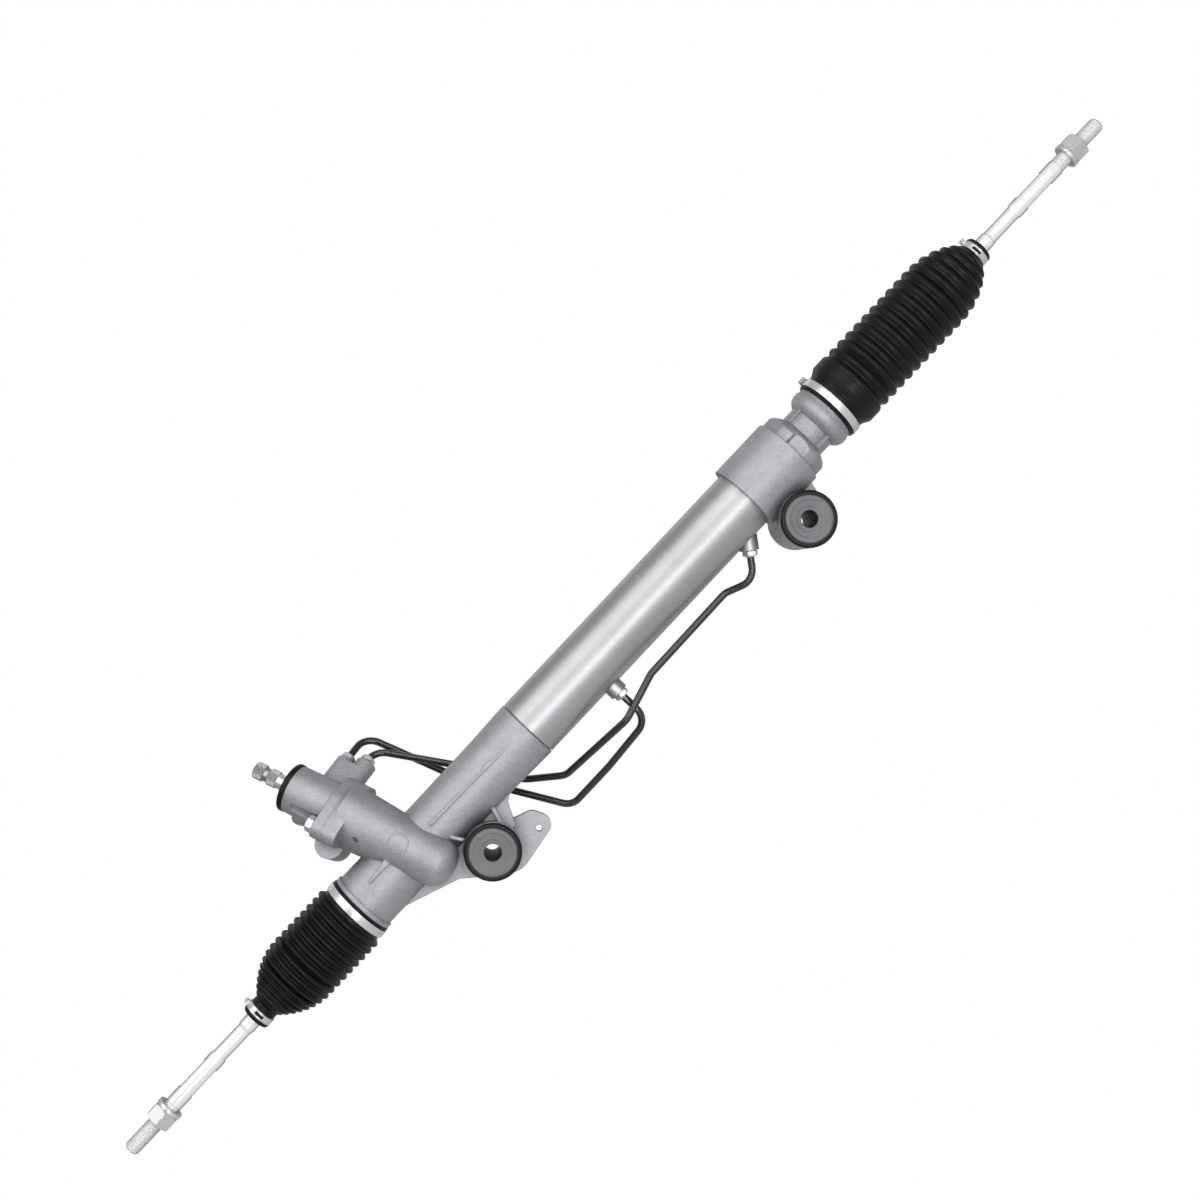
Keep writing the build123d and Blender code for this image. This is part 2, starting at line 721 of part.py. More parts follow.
def valve_bolt(index):
    """Flange bolt with a washer face."""
    x, y = bolt_points()[index]
    shank_middle = tower_top + (flange_thick - bolt_reach) / 2
    shank = Pos(x, y, shank_middle) * Cylinder(bolt_radius, flange_thick + bolt_reach)
    head = Pos(x, y, tower_top + flange_thick + 1.5) * hex_prism(bolt_head_flat, bolt_head_height)
    washer = Pos(x, y, tower_top + flange_thick + 0.75) * Cylinder(bolt_head_flat / 2 + 1, 1.5)
    return pinion_frame * (shank + head + washer)


def dust_cap():
    """Rubber cap over the valve housing's mouth."""
    base = barrel_top
    cap = on_pinion(base, base + cap_height - 2, cap_radius)
    cap += cone_on_pinion(base + cap_height - 2, base + cap_height, cap_radius, cap_radius - 4)
    cap -= on_pinion(base - 1, base + cap_height - cap_wall, cap_radius - cap_wall)
    return cap - on_pinion(base, base + cap_height + 2, cap_hole_radius)


def input_bearing():
    bottom = valve_sleeve_top + 1
    return ring_on_pinion(bottom, bottom + input_bearing_width, input_bearing_radius,
                          input_journal_radius + running_gap)


def input_seal():
    bottom = valve_sleeve_top + 1 + input_bearing_width
    return ring_on_pinion(bottom, bottom + input_seal_width, input_bearing_radius,
                          input_journal_radius + running_gap)


def rack_guide():
    start = guide_start()
    guide = on_guide(start, start + guide_length, guide_radius - running_gap)
    saddle_radius = rack_radius + running_gap + guide_liner_thick
    guide -= along_rack(pinion_cross_x - 30, pinion_cross_x + 30, saddle_radius)
    return guide - on_guide(start + guide_length - 8, start + guide_length + 1, 7)


def rack_guide_liner():
    outer = rack_radius + running_gap + guide_liner_thick
    shell = ring_on_rack(pinion_cross_x - 14, pinion_cross_x + 14, outer, rack_radius + running_gap)
    return shell & on_guide(guide_start(), guide_start() + guide_length, guide_radius - 2)


def rack_guide_spring():
    """Disc spring between guide and plug."""
    low = guide_start() + guide_length
    frame = guide_frame * Pos(0, 0, low)
    points = [(7.5, 0), (13.5, guide_spring_height - 1.3), (13.5, guide_spring_height), (7.5, 1.3)]
    face = make_face(Polyline([(x, 0, z) for x, z in points], close=True))
    return frame * revolve(face, Axis.Z)


def rack_guide_plug():
    start = guide_start() + guide_length + guide_spring_height
    plug = on_guide(start, guide_plug_end(), guide_plug_radius)
    plug += on_guide(guide_plug_end(), guide_plug_end() + guide_nut_width + 2, guide_plug_radius)
    socket = guide_frame * Pos(0, 0, guide_plug_end() - 2) * hex_prism(14, 30)
    return plug - socket


def rack_guide_nut():
    frame = guide_frame * Pos(0, 0, guide_plug_end())
    nut = frame * hex_prism(2 * guide_nut_radius - 4, guide_nut_width)
    return nut - on_guide(guide_plug_end() - 1, guide_plug_end() + 30, guide_plug_radius)


def left_bush():
    return ring_on_rack(stop_left, stop_left + left_bush_length, rack_way_radius, rack_radius + running_gap)


def cylinder_tube():
    """Ground steel cylinder with a narrower spigot in the gear housing."""
    shoulder = housing_right_end + cylinder_shoulder_gap
    tube = ring_on_rack(shoulder, cylinder_right_end, cylinder_outer_radius, cylinder_bore_radius)
    spigot_end = shoulder + cylinder_wall
    tube += ring_on_rack(cylinder_left_end, spigot_end, cylinder_spigot_radius, cylinder_spigot_bore)
    for x in (port_a_x, port_b_x):
        tube -= Pos(x, 0, rack_height - cylinder_outer_radius) * Cylinder(2, 12)
    return tube


def seal_carrier():
    """Ring fixed in the cylinder that parts the oil from the gear side."""
    carrier = ring_on_rack(seal_carrier_x, seal_carrier_x + seal_carrier_width, cylinder_bore_radius,
                           rack_radius + 1)
    pocket = ring_on_rack(seal_carrier_x + seal_carrier_width - rod_seal_width,
                          seal_carrier_x + seal_carrier_width + 1, rack_radius + 6, rack_radius)
    return carrier - pocket


def inner_rod_seal():
    end = seal_carrier_x + seal_carrier_width
    return ring_on_rack(end - rod_seal_width, end, rack_radius + 6, rack_radius + running_gap)


def end_housing():
    """Cast housing on the cylinder's end: body, neck, bellows flange, spigot and mount eye."""
    body = along_rack(end_body_start, end_body_end, end_body_radius)
    body += along_rack(end_body_end, neck_end + 1, neck_radius)
    rim = boot_flange_end - neck_end
    flange = [(0, 0), (0, neck_radius), (2, neck_radius + 2.8), (5, boot_flange_radius - 1.4),
              (8.5, boot_flange_radius), (rim - 5, boot_flange_radius), (rim - 3, boot_flange_radius - 1),
              (rim, boot_flange_radius - 1), (rim, 0)]
    body += turned_on_rack(flange, 1, neck_end)
    for angle in (40, 130, 220, 310):
        rib_y, rib_z = polar(neck_radius - 2, angle)
        rib = Pos((collar_end + neck_end + 4) / 2, rib_y, rack_height + rib_z) * Rot(angle, 0, 0)
        body += rib * Box(neck_end - collar_end + 4, 8, 3)
    body += along_rack(boot_flange_end, spigot_right_end, spigot_radius)
    body += eye_boss(eye_spacing, -eye_drop)
    low = rack_height - 31
    right = eye_spacing + eye_boss_radius
    web = [(eye_spacing - eye_boss_radius, -eye_drop), (right, -eye_drop), (right, 8 - eye_drop),
           (right + 2, low - 3), (end_body_end - 4, low + 2), (end_body_end - 1, low + 12),
           (end_body_start + 2, low + 12), (end_body_start + 2, low - 4)]
    body += plate_xz(web, -web_thick / 2, web_thick / 2 + 12)
    bores = [
        along_rack(end_body_start - 1, cylinder_right_end, cylinder_outer_radius),
        along_rack(cylinder_right_end - 1, cylinder_right_end + rod_seal_width, rack_radius + 6),
        along_rack(cylinder_right_end, stop_right + 1, rack_way_radius),
        along_rack(stop_right, spigot_right_end + 1, stop_recess_radius),
        on_eye(eye_spacing, -eye_drop, eye_boss_front - 1, eye_back + 1, eye_rubber_radius),
    ]
    return body - bores


def end_collar():
    """Locking collar on the end housing, with flats, a chamfered face and one pin notch."""
    length = collar_end - end_body_end
    collar = Pos(end_body_end, 0, rack_height) * Rot(0, 90, 0) * hex_prism(2 * collar_radius - 3.4, length)
    profile = [(0, 0), (0, collar_radius), (length - 7, collar_radius), (length - 4, collar_radius - 2),
               (length, neck_radius + 1), (length, 0)]
    collar &= turned_on_rack(profile, 1, end_body_end)
    collar -= along_rack(end_body_end - 1, collar_end + 1, neck_radius)
    notch = Pos(end_body_end + 6, -collar_radius, rack_height + 8) * Box(length - 2, 8, 2)
    return collar - notch


def outer_rod_seal():
    return ring_on_rack(cylinder_right_end, cylinder_right_end + rod_seal_width, rack_radius + 6,
                        rack_radius + running_gap)


def right_bush():
    return ring_on_rack(stop_right - end_bush_length, stop_right, rack_way_radius, rack_radius + running_gap)


def eye_rubber(centre_x, centre_z):
    front = eye_boss_front
    back = eye_boss_front + eye_boss_length
    rubber = on_eye(centre_x, centre_z, front, back, eye_rubber_radius)
    rubber += on_eye(centre_x, centre_z, front - eye_flange_thick, front, eye_flange_radius)
    rubber += on_eye(centre_x, centre_z, back, back + eye_flange_thick, eye_flange_radius)
    return rubber - on_eye(centre_x, centre_z, front - 20, back + 20, eye_bore_radius + eye_sleeve_wall)


def eye_sleeve(centre_x, centre_z):
    """Steel sleeve with its front disc and a rear disc."""
    front = eye_boss_front - eye_flange_thick
    back = eye_boss_front + eye_boss_length + eye_flange_thick
    sleeve = on_eye(centre_x, centre_z, front, back, eye_bore_radius + eye_sleeve_wall)
    sleeve += on_eye(centre_x, centre_z, front - eye_disc_thick, front, eye_disc_radius)
    sleeve += on_eye(centre_x, centre_z, back, back + eye_disc_thick, eye_disc_radius)
    return sleeve - on_eye(centre_x, centre_z, front - 20, back + 20, eye_bore_radius)


# Bellows and clamps
def bellows(lip_at, ball_at, direction, folds):
    """Folded rubber boot from the housing's spigot to the tie rod's land."""
    length = abs(ball_at + direction * (clip_centre + clip_width) - lip_at)
    inner_cuff = spigot_radius
    outer = [(0, bellows_cuff_radius), (bellows_cuff_length, bellows_cuff_radius)]
    start = bellows_cuff_length
    end = length - 2 * clip_width
    count = round(folds)
    pitch = (end - start) / count
    for fold in range(count):
        crest_at = start + (fold + 0.5) * pitch
        root_at = start + (fold + 1) * pitch
        outer.append((crest_at, bellows_envelope(crest_at, end)))
        root_radius = bellows_envelope(root_at, end) - bellows_fold_depth
        outer.append((root_at, max(root_radius, bellows_small_radius)))
    outer.append((end + 0.5, bellows_small_radius))
    outer.append((length, bellows_small_radius))
    hole = rod_land_radius + soft_gap
    root_inner = bellows_crest_radius - bellows_fold_depth - bellows_wall
    inner = [
        (length, hole),
        (end - 1, hole),
        (end - bellows_taper + 4, root_inner),
        (bellows_cuff_length + 3, root_inner),
        (bellows_cuff_length + 1, inner_cuff),
        (0, inner_cuff),
    ]
    return turned_on_rack(outer + inner, direction, lip_at)


def bellows_envelope(distance, end):
    """Crest radius at a distance from the lip: full, then tapering to the small end."""
    left = end - distance
    if left >= bellows_taper:
        return bellows_crest_radius
    share = left / bellows_taper
    return bellows_small_radius + 4 + (bellows_crest_radius - bellows_small_radius - 4) * share ** 0.7


def wide_clamp(centre, ear_turn):
    """Band clamp round the bellows' cuff, with its closing ear turned round the rack from the top."""
    inner = bellows_cuff_radius + clamp_gap
    band = ring_on_rack(centre - clamp_width / 2, centre + clamp_width / 2, inner + clamp_thick, inner)
    ear = Pos(0, 0, inner + clamp_thick + 1) * Box(clamp_width - 1, 4.5, 4)
    return band + Pos(centre, 0, rack_height) * Rot(ear_turn, 0, 0) * ear


# Pipes and unions
def port_spot(k, reach):
    frame = port_frame(-90 + port_turn, k)
    return frame.from_local_coords(Vector(0, 0, reach)), frame.z_dir


def pipe(points):
    """Steel pipe: straight runs joined by tangent arcs."""
    route = FilletPolyline(*points, radius=pipe_bend)
    first = (Vector(points[1]) - Vector(points[0])).normalized()
    start = Plane(origin=points[0], z_dir=first)
    return sweep(start * Circle(pipe_radius), path=route)


def cylinder_port_direction(tilt_angle):
    turn = math.radians(tilt_angle)
    return Vector(-math.sin(turn), 0, -math.cos(turn))


def cylinder_port_spot(x, tilt_angle, out):
    """A point on a cylinder port's axis, out from the tube's lower wall."""
    foot = Vector(x, 0, rack_height - cylinder_outer_radius)
    return foot + cylinder_port_direction(tilt_angle) * out


def cylinder_port(x, tilt_angle):
    """Welded union on the cylinder's underside."""
    direction = cylinder_port_direction(tilt_angle)
    frame = Plane(origin=cylinder_port_spot(x, tilt_angle, -6), z_dir=direction)
    body = frame * Pos(0, 0, (port_block_length + 6) / 2) * Cylinder(port_block_radius, port_block_length + 6)
    body -= along_rack(x - 30, x + 30, cylinder_outer_radius)
    return body - frame * Pos(0, 0, port_block_length) * Cylinder(port_thread_radius, 30)


def pipe_nut(frame):
    """Union nut: hexagon outside, threaded shank inside the port."""
    nut = frame * hex_prism(pipe_nut_flat, pipe_nut_length)
    nut += frame * Pos(0, 0, -pipe_nut_shank / 2) * Cylinder(port_thread_radius, pipe_nut_shank)
    return nut - frame * Cylinder(pipe_radius, 60)


def pipe_route_upper():
    start, out = port_spot(port_upper_k, port_upper_reach - pipe_end_inside)
    bend = start + out * 35
    low = cylinder_port_spot(port_a_x, 0, port_block_length + 34)
    return [
        start,
        bend,
        Vector(16, 45, 74),
        Vector(46, 44, 17),
        Vector(72, 36, rack_height - 78),
        Vector(120, 18, rack_height - 76),
        low,
        cylinder_port_spot(port_a_x, 0, port_block_length - pipe_end_inside),
    ]


def pipe_route_lower():
    start, out = port_spot(port_lower_k, port_lower_reach - pipe_end_inside)
    bend = start + out * 19
    last = cylinder_port_spot(port_b_x, port_b_tilt, port_block_length + 26)
    return [
        start,
        bend,
        Vector(26, 34, 74),
        Vector(61, 34, 17),
        Vector(88, 22, -5),
        Vector(port_a_x - 12.8, -17, rack_height - 56),
        Vector(port_a_x + 30.2, -17, rack_height - 44),
        Vector(port_b_x - 47, -6, rack_height - 44),
        last,
        cylinder_port_spot(port_b_x, port_b_tilt, port_block_length - pipe_end_inside),
    ]


def union_nut(k, reach):
    spot, out = port_spot(k, reach)
    return pipe_nut(Plane(origin=spot, z_dir=out))


def cylinder_union_nut(x, tilt_angle):
    direction = cylinder_port_direction(tilt_angle)
    return pipe_nut(Plane(origin=cylinder_port_spot(x, tilt_angle, port_block_length), z_dir=direction))


def build_nodes():
    left_eye, right_eye = eye_positions()
    return {
        "gear_housing": gear_housing(),
        "cylinder_tube": cylinder_tube(),
        "cylinder_end_housing": end_housing(),
        "end_locking_collar": end_collar(),
        "valve_housing": valve_housing(),
        "valve_bolt_front": valve_bolt(0),
        "valve_bolt_rear": valve_bolt(1),
        "dust_cap": dust_cap(),
        "input_bearing": input_bearing(),
        "input_seal": input_seal(),
        "pinion_lower_bearing": pinion_lower_bearing(),
        "pinion_upper_bearing": pinion_upper_bearing(),
        "rack_guide": rack_guide(),
        "rack_guide_liner": rack_guide_liner(),
        "rack_guide_spring": rack_guide_spring(),
        "rack_guide_plug": rack_guide_plug(),
        "rack_guide_nut": rack_guide_nut(),
        "rack_bush_left": left_bush(),
        "rack_bush_right": right_bush(),
        "seal_carrier": seal_carrier(),
        "rack_seal_inner": inner_rod_seal(),
        "rack_seal_outer": outer_rod_seal(),
        "eye_rubber_left": eye_rubber(*left_eye),
        "eye_rubber_right": eye_rubber(*right_eye),
        "eye_sleeve_left": eye_sleeve(*left_eye),
        "eye_sleeve_right": eye_sleeve(*right_eye),
        "cylinder_port_a": cylinder_port(port_a_x, 0),
        "cylinder_port_b": cylinder_port(port_b_x, port_b_tilt),
        "transfer_pipe_upper": pipe(pipe_route_upper()),
        "transfer_pipe_lower": pipe(pipe_route_lower()),
        "valve_union_nut_upper": union_nut(port_upper_k, port_upper_reach),
        "valve_union_nut_lower": union_nut(port_lower_k, port_lower_reach),
        "cylinder_union_nut_a": cylinder_union_nut(port_a_x, 0),
        "cylinder_union_nut_b": cylinder_union_nut(port_b_x, port_b_tilt),
        "bellows_left": bellows(lip_left - 2, ball_left, -1, bellows_folds_left),
        "bellows_right": bellows(boot_flange_end, ball_right, 1, bellows_folds_right),
        "bellows_clamp_left": wide_clamp(lip_left - 2 - bellows_cuff_length / 2, -115),
        "bellows_clamp_right": wide_clamp(boot_flange_end + bellows_cuff_length / 2, -8),
        "rack_bar": rack_bar(),
        "piston": piston(),
        "piston_ring": piston_ring(),
        "ball_socket_left": ball_socket(shoulder_left, -1),
        "ball_socket_right": ball_socket(shoulder_right, 1),
        "pinion": pinion(),
        "valve_sleeve": valve_sleeve(),
        "input_shaft": input_shaft(),
        "torsion_bar": torsion_bar(),
        "ball_seat_left": ball_seat(ball_left, -1),
        "ball_seat_right": ball_seat(ball_right, 1),
        "tie_rod_ball_left": tie_rod_ball(ball_left, -1),
        "tie_rod_ball_right": tie_rod_ball(ball_right, 1),
        "tie_rod_left": tie_rod(ball_left, -1, jam_nut_left_at),
        "tie_rod_right": tie_rod(ball_right, 1, jam_nut_right_at),
        "jam_nut_left": jam_nut(ball_left, -1, jam_nut_left_at),
        "jam_nut_right": jam_nut(ball_right, 1, jam_nut_right_at),
        "small_clip_left": small_clip(ball_left, -1),
        "small_clip_right": small_clip(ball_right, 1),
    }


os.makedirs("parts", exist_ok=True)
for node, shape in build_nodes().items():
    export_step(shape, f"parts/{node}.step")
    print(node, round(shape.volume / 1000, 2), "cm3")
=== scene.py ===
# %% [markdown]
# # A hydraulic steering rack, dressed in Blender
#
# The solids of this steering gear come from its CAD model, one node per real part. This lesson gives
# them their looks: cast aluminium, drawn steel tube, bright tie rods and black folded rubber boots.
# Some CAD nodes only need a material. Others, such as the boots and the threads, get a finer piece
# that stands for them. Everything is in metres, in the same place as the CAD, with the rack along X.

import json
import math
from functools import partialmethod

import bmesh
import bpy
from mathutils import Matrix, Vector


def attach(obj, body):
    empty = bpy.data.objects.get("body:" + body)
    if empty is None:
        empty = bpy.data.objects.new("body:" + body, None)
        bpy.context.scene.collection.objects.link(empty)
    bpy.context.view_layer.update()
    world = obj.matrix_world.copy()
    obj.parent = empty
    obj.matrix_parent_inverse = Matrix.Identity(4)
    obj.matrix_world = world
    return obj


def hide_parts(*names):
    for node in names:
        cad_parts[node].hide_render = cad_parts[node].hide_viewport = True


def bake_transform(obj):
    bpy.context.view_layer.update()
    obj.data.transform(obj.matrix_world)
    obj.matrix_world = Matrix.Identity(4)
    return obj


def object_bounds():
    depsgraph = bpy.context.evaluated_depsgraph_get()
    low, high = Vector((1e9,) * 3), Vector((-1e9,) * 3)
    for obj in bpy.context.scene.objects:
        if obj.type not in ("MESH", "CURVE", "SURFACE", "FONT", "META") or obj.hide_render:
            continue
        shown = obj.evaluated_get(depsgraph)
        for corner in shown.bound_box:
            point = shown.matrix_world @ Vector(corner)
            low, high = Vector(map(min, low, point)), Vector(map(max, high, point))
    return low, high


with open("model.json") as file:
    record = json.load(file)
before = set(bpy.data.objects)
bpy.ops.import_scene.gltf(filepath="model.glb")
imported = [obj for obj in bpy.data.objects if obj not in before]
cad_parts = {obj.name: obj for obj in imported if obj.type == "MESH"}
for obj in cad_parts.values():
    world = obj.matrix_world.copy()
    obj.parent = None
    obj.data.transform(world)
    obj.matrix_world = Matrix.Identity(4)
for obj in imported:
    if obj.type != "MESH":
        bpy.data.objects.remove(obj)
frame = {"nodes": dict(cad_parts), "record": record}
cad_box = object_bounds()

# %% [markdown]
# ## Sizes shared by many pieces
#
# These are the CAD model's own sizes in millimetres, and `MM` turns them into metres. The rack axis
# runs along X at the height below, and the pinion leans towards -X and away from the viewer. Each side
# has a lip that its boot sits on, a ball that its tie rod swings on, and a sign for its way along X.

# %% Shared sizes
MM = 0.001
RACK_HEIGHT = 49.0
SIDES = {"left": (-111.0, -158.5, -1), "right": (473.6, 586.5, 1)}
PINION_LEAN = math.radians(17.37)
PINION_TILT = math.radians(17.78)
PINION_AT = -46.6
CENTRE_DISTANCE = 14.7


def pinion_axes():
    """Origin and three axes of the pinion: X towards the rack, Z up along the shaft."""
    up = Vector((-math.sin(PINION_LEAN), math.cos(PINION_LEAN) * math.sin(PINION_TILT),
                 math.cos(PINION_LEAN) * math.cos(PINION_TILT)))
    to_rack = Vector((0, math.cos(PINION_TILT), -math.sin(PINION_TILT)))
    origin = Vector((PINION_AT, 0, RACK_HEIGHT)) - to_rack * CENTRE_DISTANCE
    return origin, to_rack, up.cross(to_rack), up


def frame_matrix(origin, x_axis, y_axis, z_axis):
    """Matrix from a local frame in millimetres to the row frame in metres."""
    turn = Matrix((x_axis, y_axis, z_axis)).transposed().to_4x4()
    return Matrix.Translation(Vector(origin) * MM) @ turn @ Matrix.Scale(MM, 4)


def frame_towards(origin, x_axis, out):
    """Local frame at a spot in millimetres whose Z points along `out`."""
    out = Vector(out)
    return frame_matrix(origin, x_axis, out.cross(Vector(x_axis)), out)


def rack_frame(at_x, sign):
    """Local frame on the rack axis whose Z points along +X or -X, with X up."""
    return frame_towards((at_x, 0, RACK_HEIGHT), (0, 0, 1), (sign, 0, 0))


PINION_FRAME = frame_matrix(*pinion_axes())
print("pinion axis points to", tuple(round(v, 3) for v in pinion_axes()[3]))

# %% [markdown]
# ## Camera
#
# The photograph was taken with a normal lens, square to the rack, and then turned so that the rack
# runs from the lower left to the upper right. A camera that rolls about its own view axis gives the
# same picture while the rack itself stays level in the model.


# %% Camera
def put(name, data):
    """Add an object with this data to the scene."""
    thing = bpy.data.objects.new(name, data)
    bpy.context.scene.collection.objects.link(thing)
    return thing


camera_data = bpy.data.cameras.new("photo_camera")
camera_data.lens = 58.5
camera_data.sensor_width = 36.0
camera = put("photo_camera", camera_data)
camera_right = Vector((0.68544162, -0.06352373, -0.72535131))
camera_up = Vector((0.72693092, 0.00261119, 0.68670563))
camera_back = camera_right.cross(camera_up).normalized()
camera_turn = Matrix((camera_right, camera_up, camera_back)).transposed().to_4x4()
camera.matrix_world = Matrix.Translation((0.148946, -1.684947, 0.160546)) @ camera_turn
camera_data.clip_start = 0.05
camera_data.clip_end = 50
bpy.context.scene.camera = camera
print("camera is", round(camera.location.length, 3), "m from the pinion-side eye")

# %% [markdown]
# ## Nodes without wiring
#
# The world, the finishes and the grown shapes are all node trees. One helper adds a node, sets its
# options and feeds its inputs, each with a plain value or with another node's output.


# %% Node helper
def add_node(tree, kind, inputs=None, **options):
    """Add a node; `inputs` maps its sockets to values or to the sockets that feed them."""
    node = tree.nodes.new(kind)
    for label, value in options.items():
        setattr(node, label, value)
    for label, value in (inputs or {}).items():
        if isinstance(value, bpy.types.NodeSocket):
            tree.links.new(value, node.inputs[label])
        elif value is not None:
            node.inputs[label].default_value = value
    return node


def titled(values):
    """Argument names as socket labels, such as from_min as From Min."""
    return {name.replace("_", " ").title(): value for name, value in values.items()}


def mapped(tree, value, **ends):
    """A Map Range node's result; the ends are from_min, from_max, to_min and to_max."""
    return add_node(tree, "ShaderNodeMapRange", {"Value": value, **titled(ends)}).outputs["Result"]


def camera_pick(tree, others, seen):
    """Mix two shader nodes: the camera's own rays meet the second, all others the first."""
    path = add_node(tree, "ShaderNodeLightPath")
    return add_node(tree, "ShaderNodeMixShader", {
        0: path.outputs["Is Camera Ray"], 1: others.outputs[0], 2: seen.outputs[0]}).outputs[0]


# %% [markdown]
# ## Floor and soft light
#
# Product photographs like this one use a white room: large soft lamps, and a floor so bright that it
# melts into the background. Metal shows what it reflects, so the room can't be the same white all
# round, or the tube would look like paper. The world is therefore white to the camera alone, and a
# grey gradient to the metal. The floor is clear to the camera and pale to everything else. Large
# area lamps give the soft shading, and a thin strip draws the fine highlights.

# %% World
world = bpy.data.worlds.new("studio")
bpy.context.scene.world = world
world.use_nodes = True
room = world.node_tree
room.nodes.clear()
direction = add_node(room, "ShaderNodeTexCoord")
split = add_node(room, "ShaderNodeSeparateXYZ", {0: direction.outputs["Generated"]})
ramp = add_node(room, "ShaderNodeValToRGB", {"Fac": mapped(room, split.outputs["Z"], from_min=-1.0)})
for index, (place, tone) in enumerate(((0.25, (0.21, 0.205, 0.215, 1)), (0.95, (0.95, 0.945, 0.96, 1)))):
    ramp.color_ramp.elements[index].color = tone
    ramp.color_ramp.elements[index].position = place
felt = add_node(room, "ShaderNodeBackground", {"Color": ramp.outputs["Color"], "Strength": 0.50})
seen = add_node(room, "ShaderNodeBackground", {"Color": (1, 1, 1, 1)})
add_node(room, "ShaderNodeOutputWorld", {"Surface": camera_pick(room, felt, seen)})
bpy.context.scene.view_settings.view_transform = "Standard"
print("world:", len(room.nodes), "nodes")

# %% Lamps
RACK_MIDDLE = Vector((0.2, 0.0, 0.05))


def soft_lamp(name, place, size, watts):
    """A rectangular area lamp that looks at the rack's middle."""
    data = bpy.data.lights.new(name, "AREA")
    data.shape = "RECTANGLE"
    data.size, data.size_y = size
    data.energy = watts
    lamp = put(name, data)
    lamp.location = place
    lamp.rotation_euler = (RACK_MIDDLE - Vector(place)).to_track_quat("-Z", "Y").to_euler()
    lamp.visible_camera = False


soft_lamp("key_above", (0.1, -0.8, 1.2), (1.9, 0.9), 8)
soft_lamp("thin_strip", (0.2, -1.0, 0.75), (2.4, 0.05), 3)
soft_lamp("low_fill", (0.15, -1.5, -0.12), (2.0, 0.2), 7)
soft_lamp("front_fill", (0.5, -1.9, 0.35), (1.8, 1.2), 7.5)
soft_lamp("back_rim", (0.3, 1.1, 0.9), (1.6, 0.4), 1.5)

# %% Floor
FLOOR_DROP = 0.22
FLOOR_REACH = 7.0
floor_mesh = bpy.data.meshes.new("floor")
builder = bmesh.new()
bmesh.ops.create_circle(builder, cap_ends=True, segments=96, radius=FLOOR_REACH)
builder.to_mesh(floor_mesh)
builder.free()
floor = put("floor", floor_mesh)
floor.location = (RACK_MIDDLE.x, 0, cad_box[0].z - FLOOR_DROP)
pale = bpy.data.materials.new("pale_floor")
pale.use_nodes = True
pale_tree = pale.node_tree
pale_shader = pale_tree.nodes["Principled BSDF"]
pale_shader.inputs["Base Color"].default_value = (0.80, 0.80, 0.80, 1)
pale_shader.inputs["Roughness"].default_value = 0.9
clear = add_node(pale_tree, "ShaderNodeBsdfTransparent")
pale_tree.links.new(camera_pick(pale_tree, pale_shader, clear), pale_tree.nodes["Material Output"].inputs[0])
floor_mesh.materials.append(pale)
print("floor lies at z =", round(floor.location.z, 3))

# %% [markdown]
# ## Shader groups
#
# Three effects come back on many parts, so each is a node group with its own inputs. Grain is fine
# noise: stretched by a vector it becomes turning marks, unstretched the skin of a casting. Edge wear
# compares the true normal with one rounded over a small radius: they differ only near edges. Painted
# shade is the third: the ambient occlusion node measures where the surface is closed in, and there
# the colour is darkened. The groups give out masks and heights only, and the shader itself stays in
# each material.


# %% Group helpers
def shader_group(name, numbers, outputs):
    """An empty shader group with number inputs and float outputs."""
    tree = bpy.data.node_groups.new(name, "ShaderNodeTree")
    for label, value in numbers.items():
        kind = "NodeSocketVector" if isinstance(value, tuple) else "NodeSocketFloat"
        tree.interface.new_socket(label, in_out="INPUT", socket_type=kind).default_value = value
    for label in outputs:
        tree.interface.new_socket(label, in_out="OUTPUT", socket_type="NodeSocketFloat")
    return tree, tree.nodes.new("NodeGroupInput").outputs


def math_node(tree, operation, first, second=None, clamp=False):
    """A Math node whose inputs are sockets or plain numbers; gives back its output socket."""
    return add_node(tree, "ShaderNodeMath", {0: first, 1: second}, operation=operation,
                    use_clamp=clamp).outputs[0]


# %% Grain group
def build_grain():
    tree, given = shader_group(
        "surface_grain", {"Scale": 900.0, "Stretch": (1.0, 1.0, 1.0), "Blotch Scale": 40.0},
        ("Height", "Blotch"))
    place = add_node(tree, "ShaderNodeTexCoord").outputs["Object"]
    stretched = add_node(tree, "ShaderNodeVectorMath", {0: place, 1: given["Stretch"]}, operation="MULTIPLY")
    fine = add_node(tree, "ShaderNodeTexNoise", {
        "Vector": stretched.outputs[0], "Scale": given["Scale"], "Detail": 3.0, "Roughness": 0.6})
    broad = add_node(tree, "ShaderNodeTexNoise", {
        "Vector": place, "Scale": given["Blotch Scale"], "Detail": 2.0})
    add_node(tree, "NodeGroupOutput", {"Height": fine.outputs["Fac"], "Blotch": broad.outputs["Fac"]})
    return tree


# %% Edge wear group
EDGE_CONTRAST = 6.0


def build_edge_wear():
    tree, given = shader_group("edge_wear", {"Width": 0.0012, "Amount": 1.0}, ("Mask",))
    rounded = add_node(tree, "ShaderNodeBevel", {"Radius": given["Width"]}, samples=4)
    flat = add_node(tree, "ShaderNodeNewGeometry")
    agree = add_node(tree, "ShaderNodeVectorMath", {0: rounded.outputs["Normal"], 1: flat.outputs["Normal"]},
                     operation="DOT_PRODUCT")
    apart = math_node(tree, "SUBTRACT", 1.0, agree.outputs["Value"])
    raised = math_node(tree, "MULTIPLY", apart, EDGE_CONTRAST)
    worn = math_node(tree, "MULTIPLY", raised, given["Amount"], clamp=True)
    add_node(tree, "NodeGroupOutput", {"Mask": worn})
    return tree
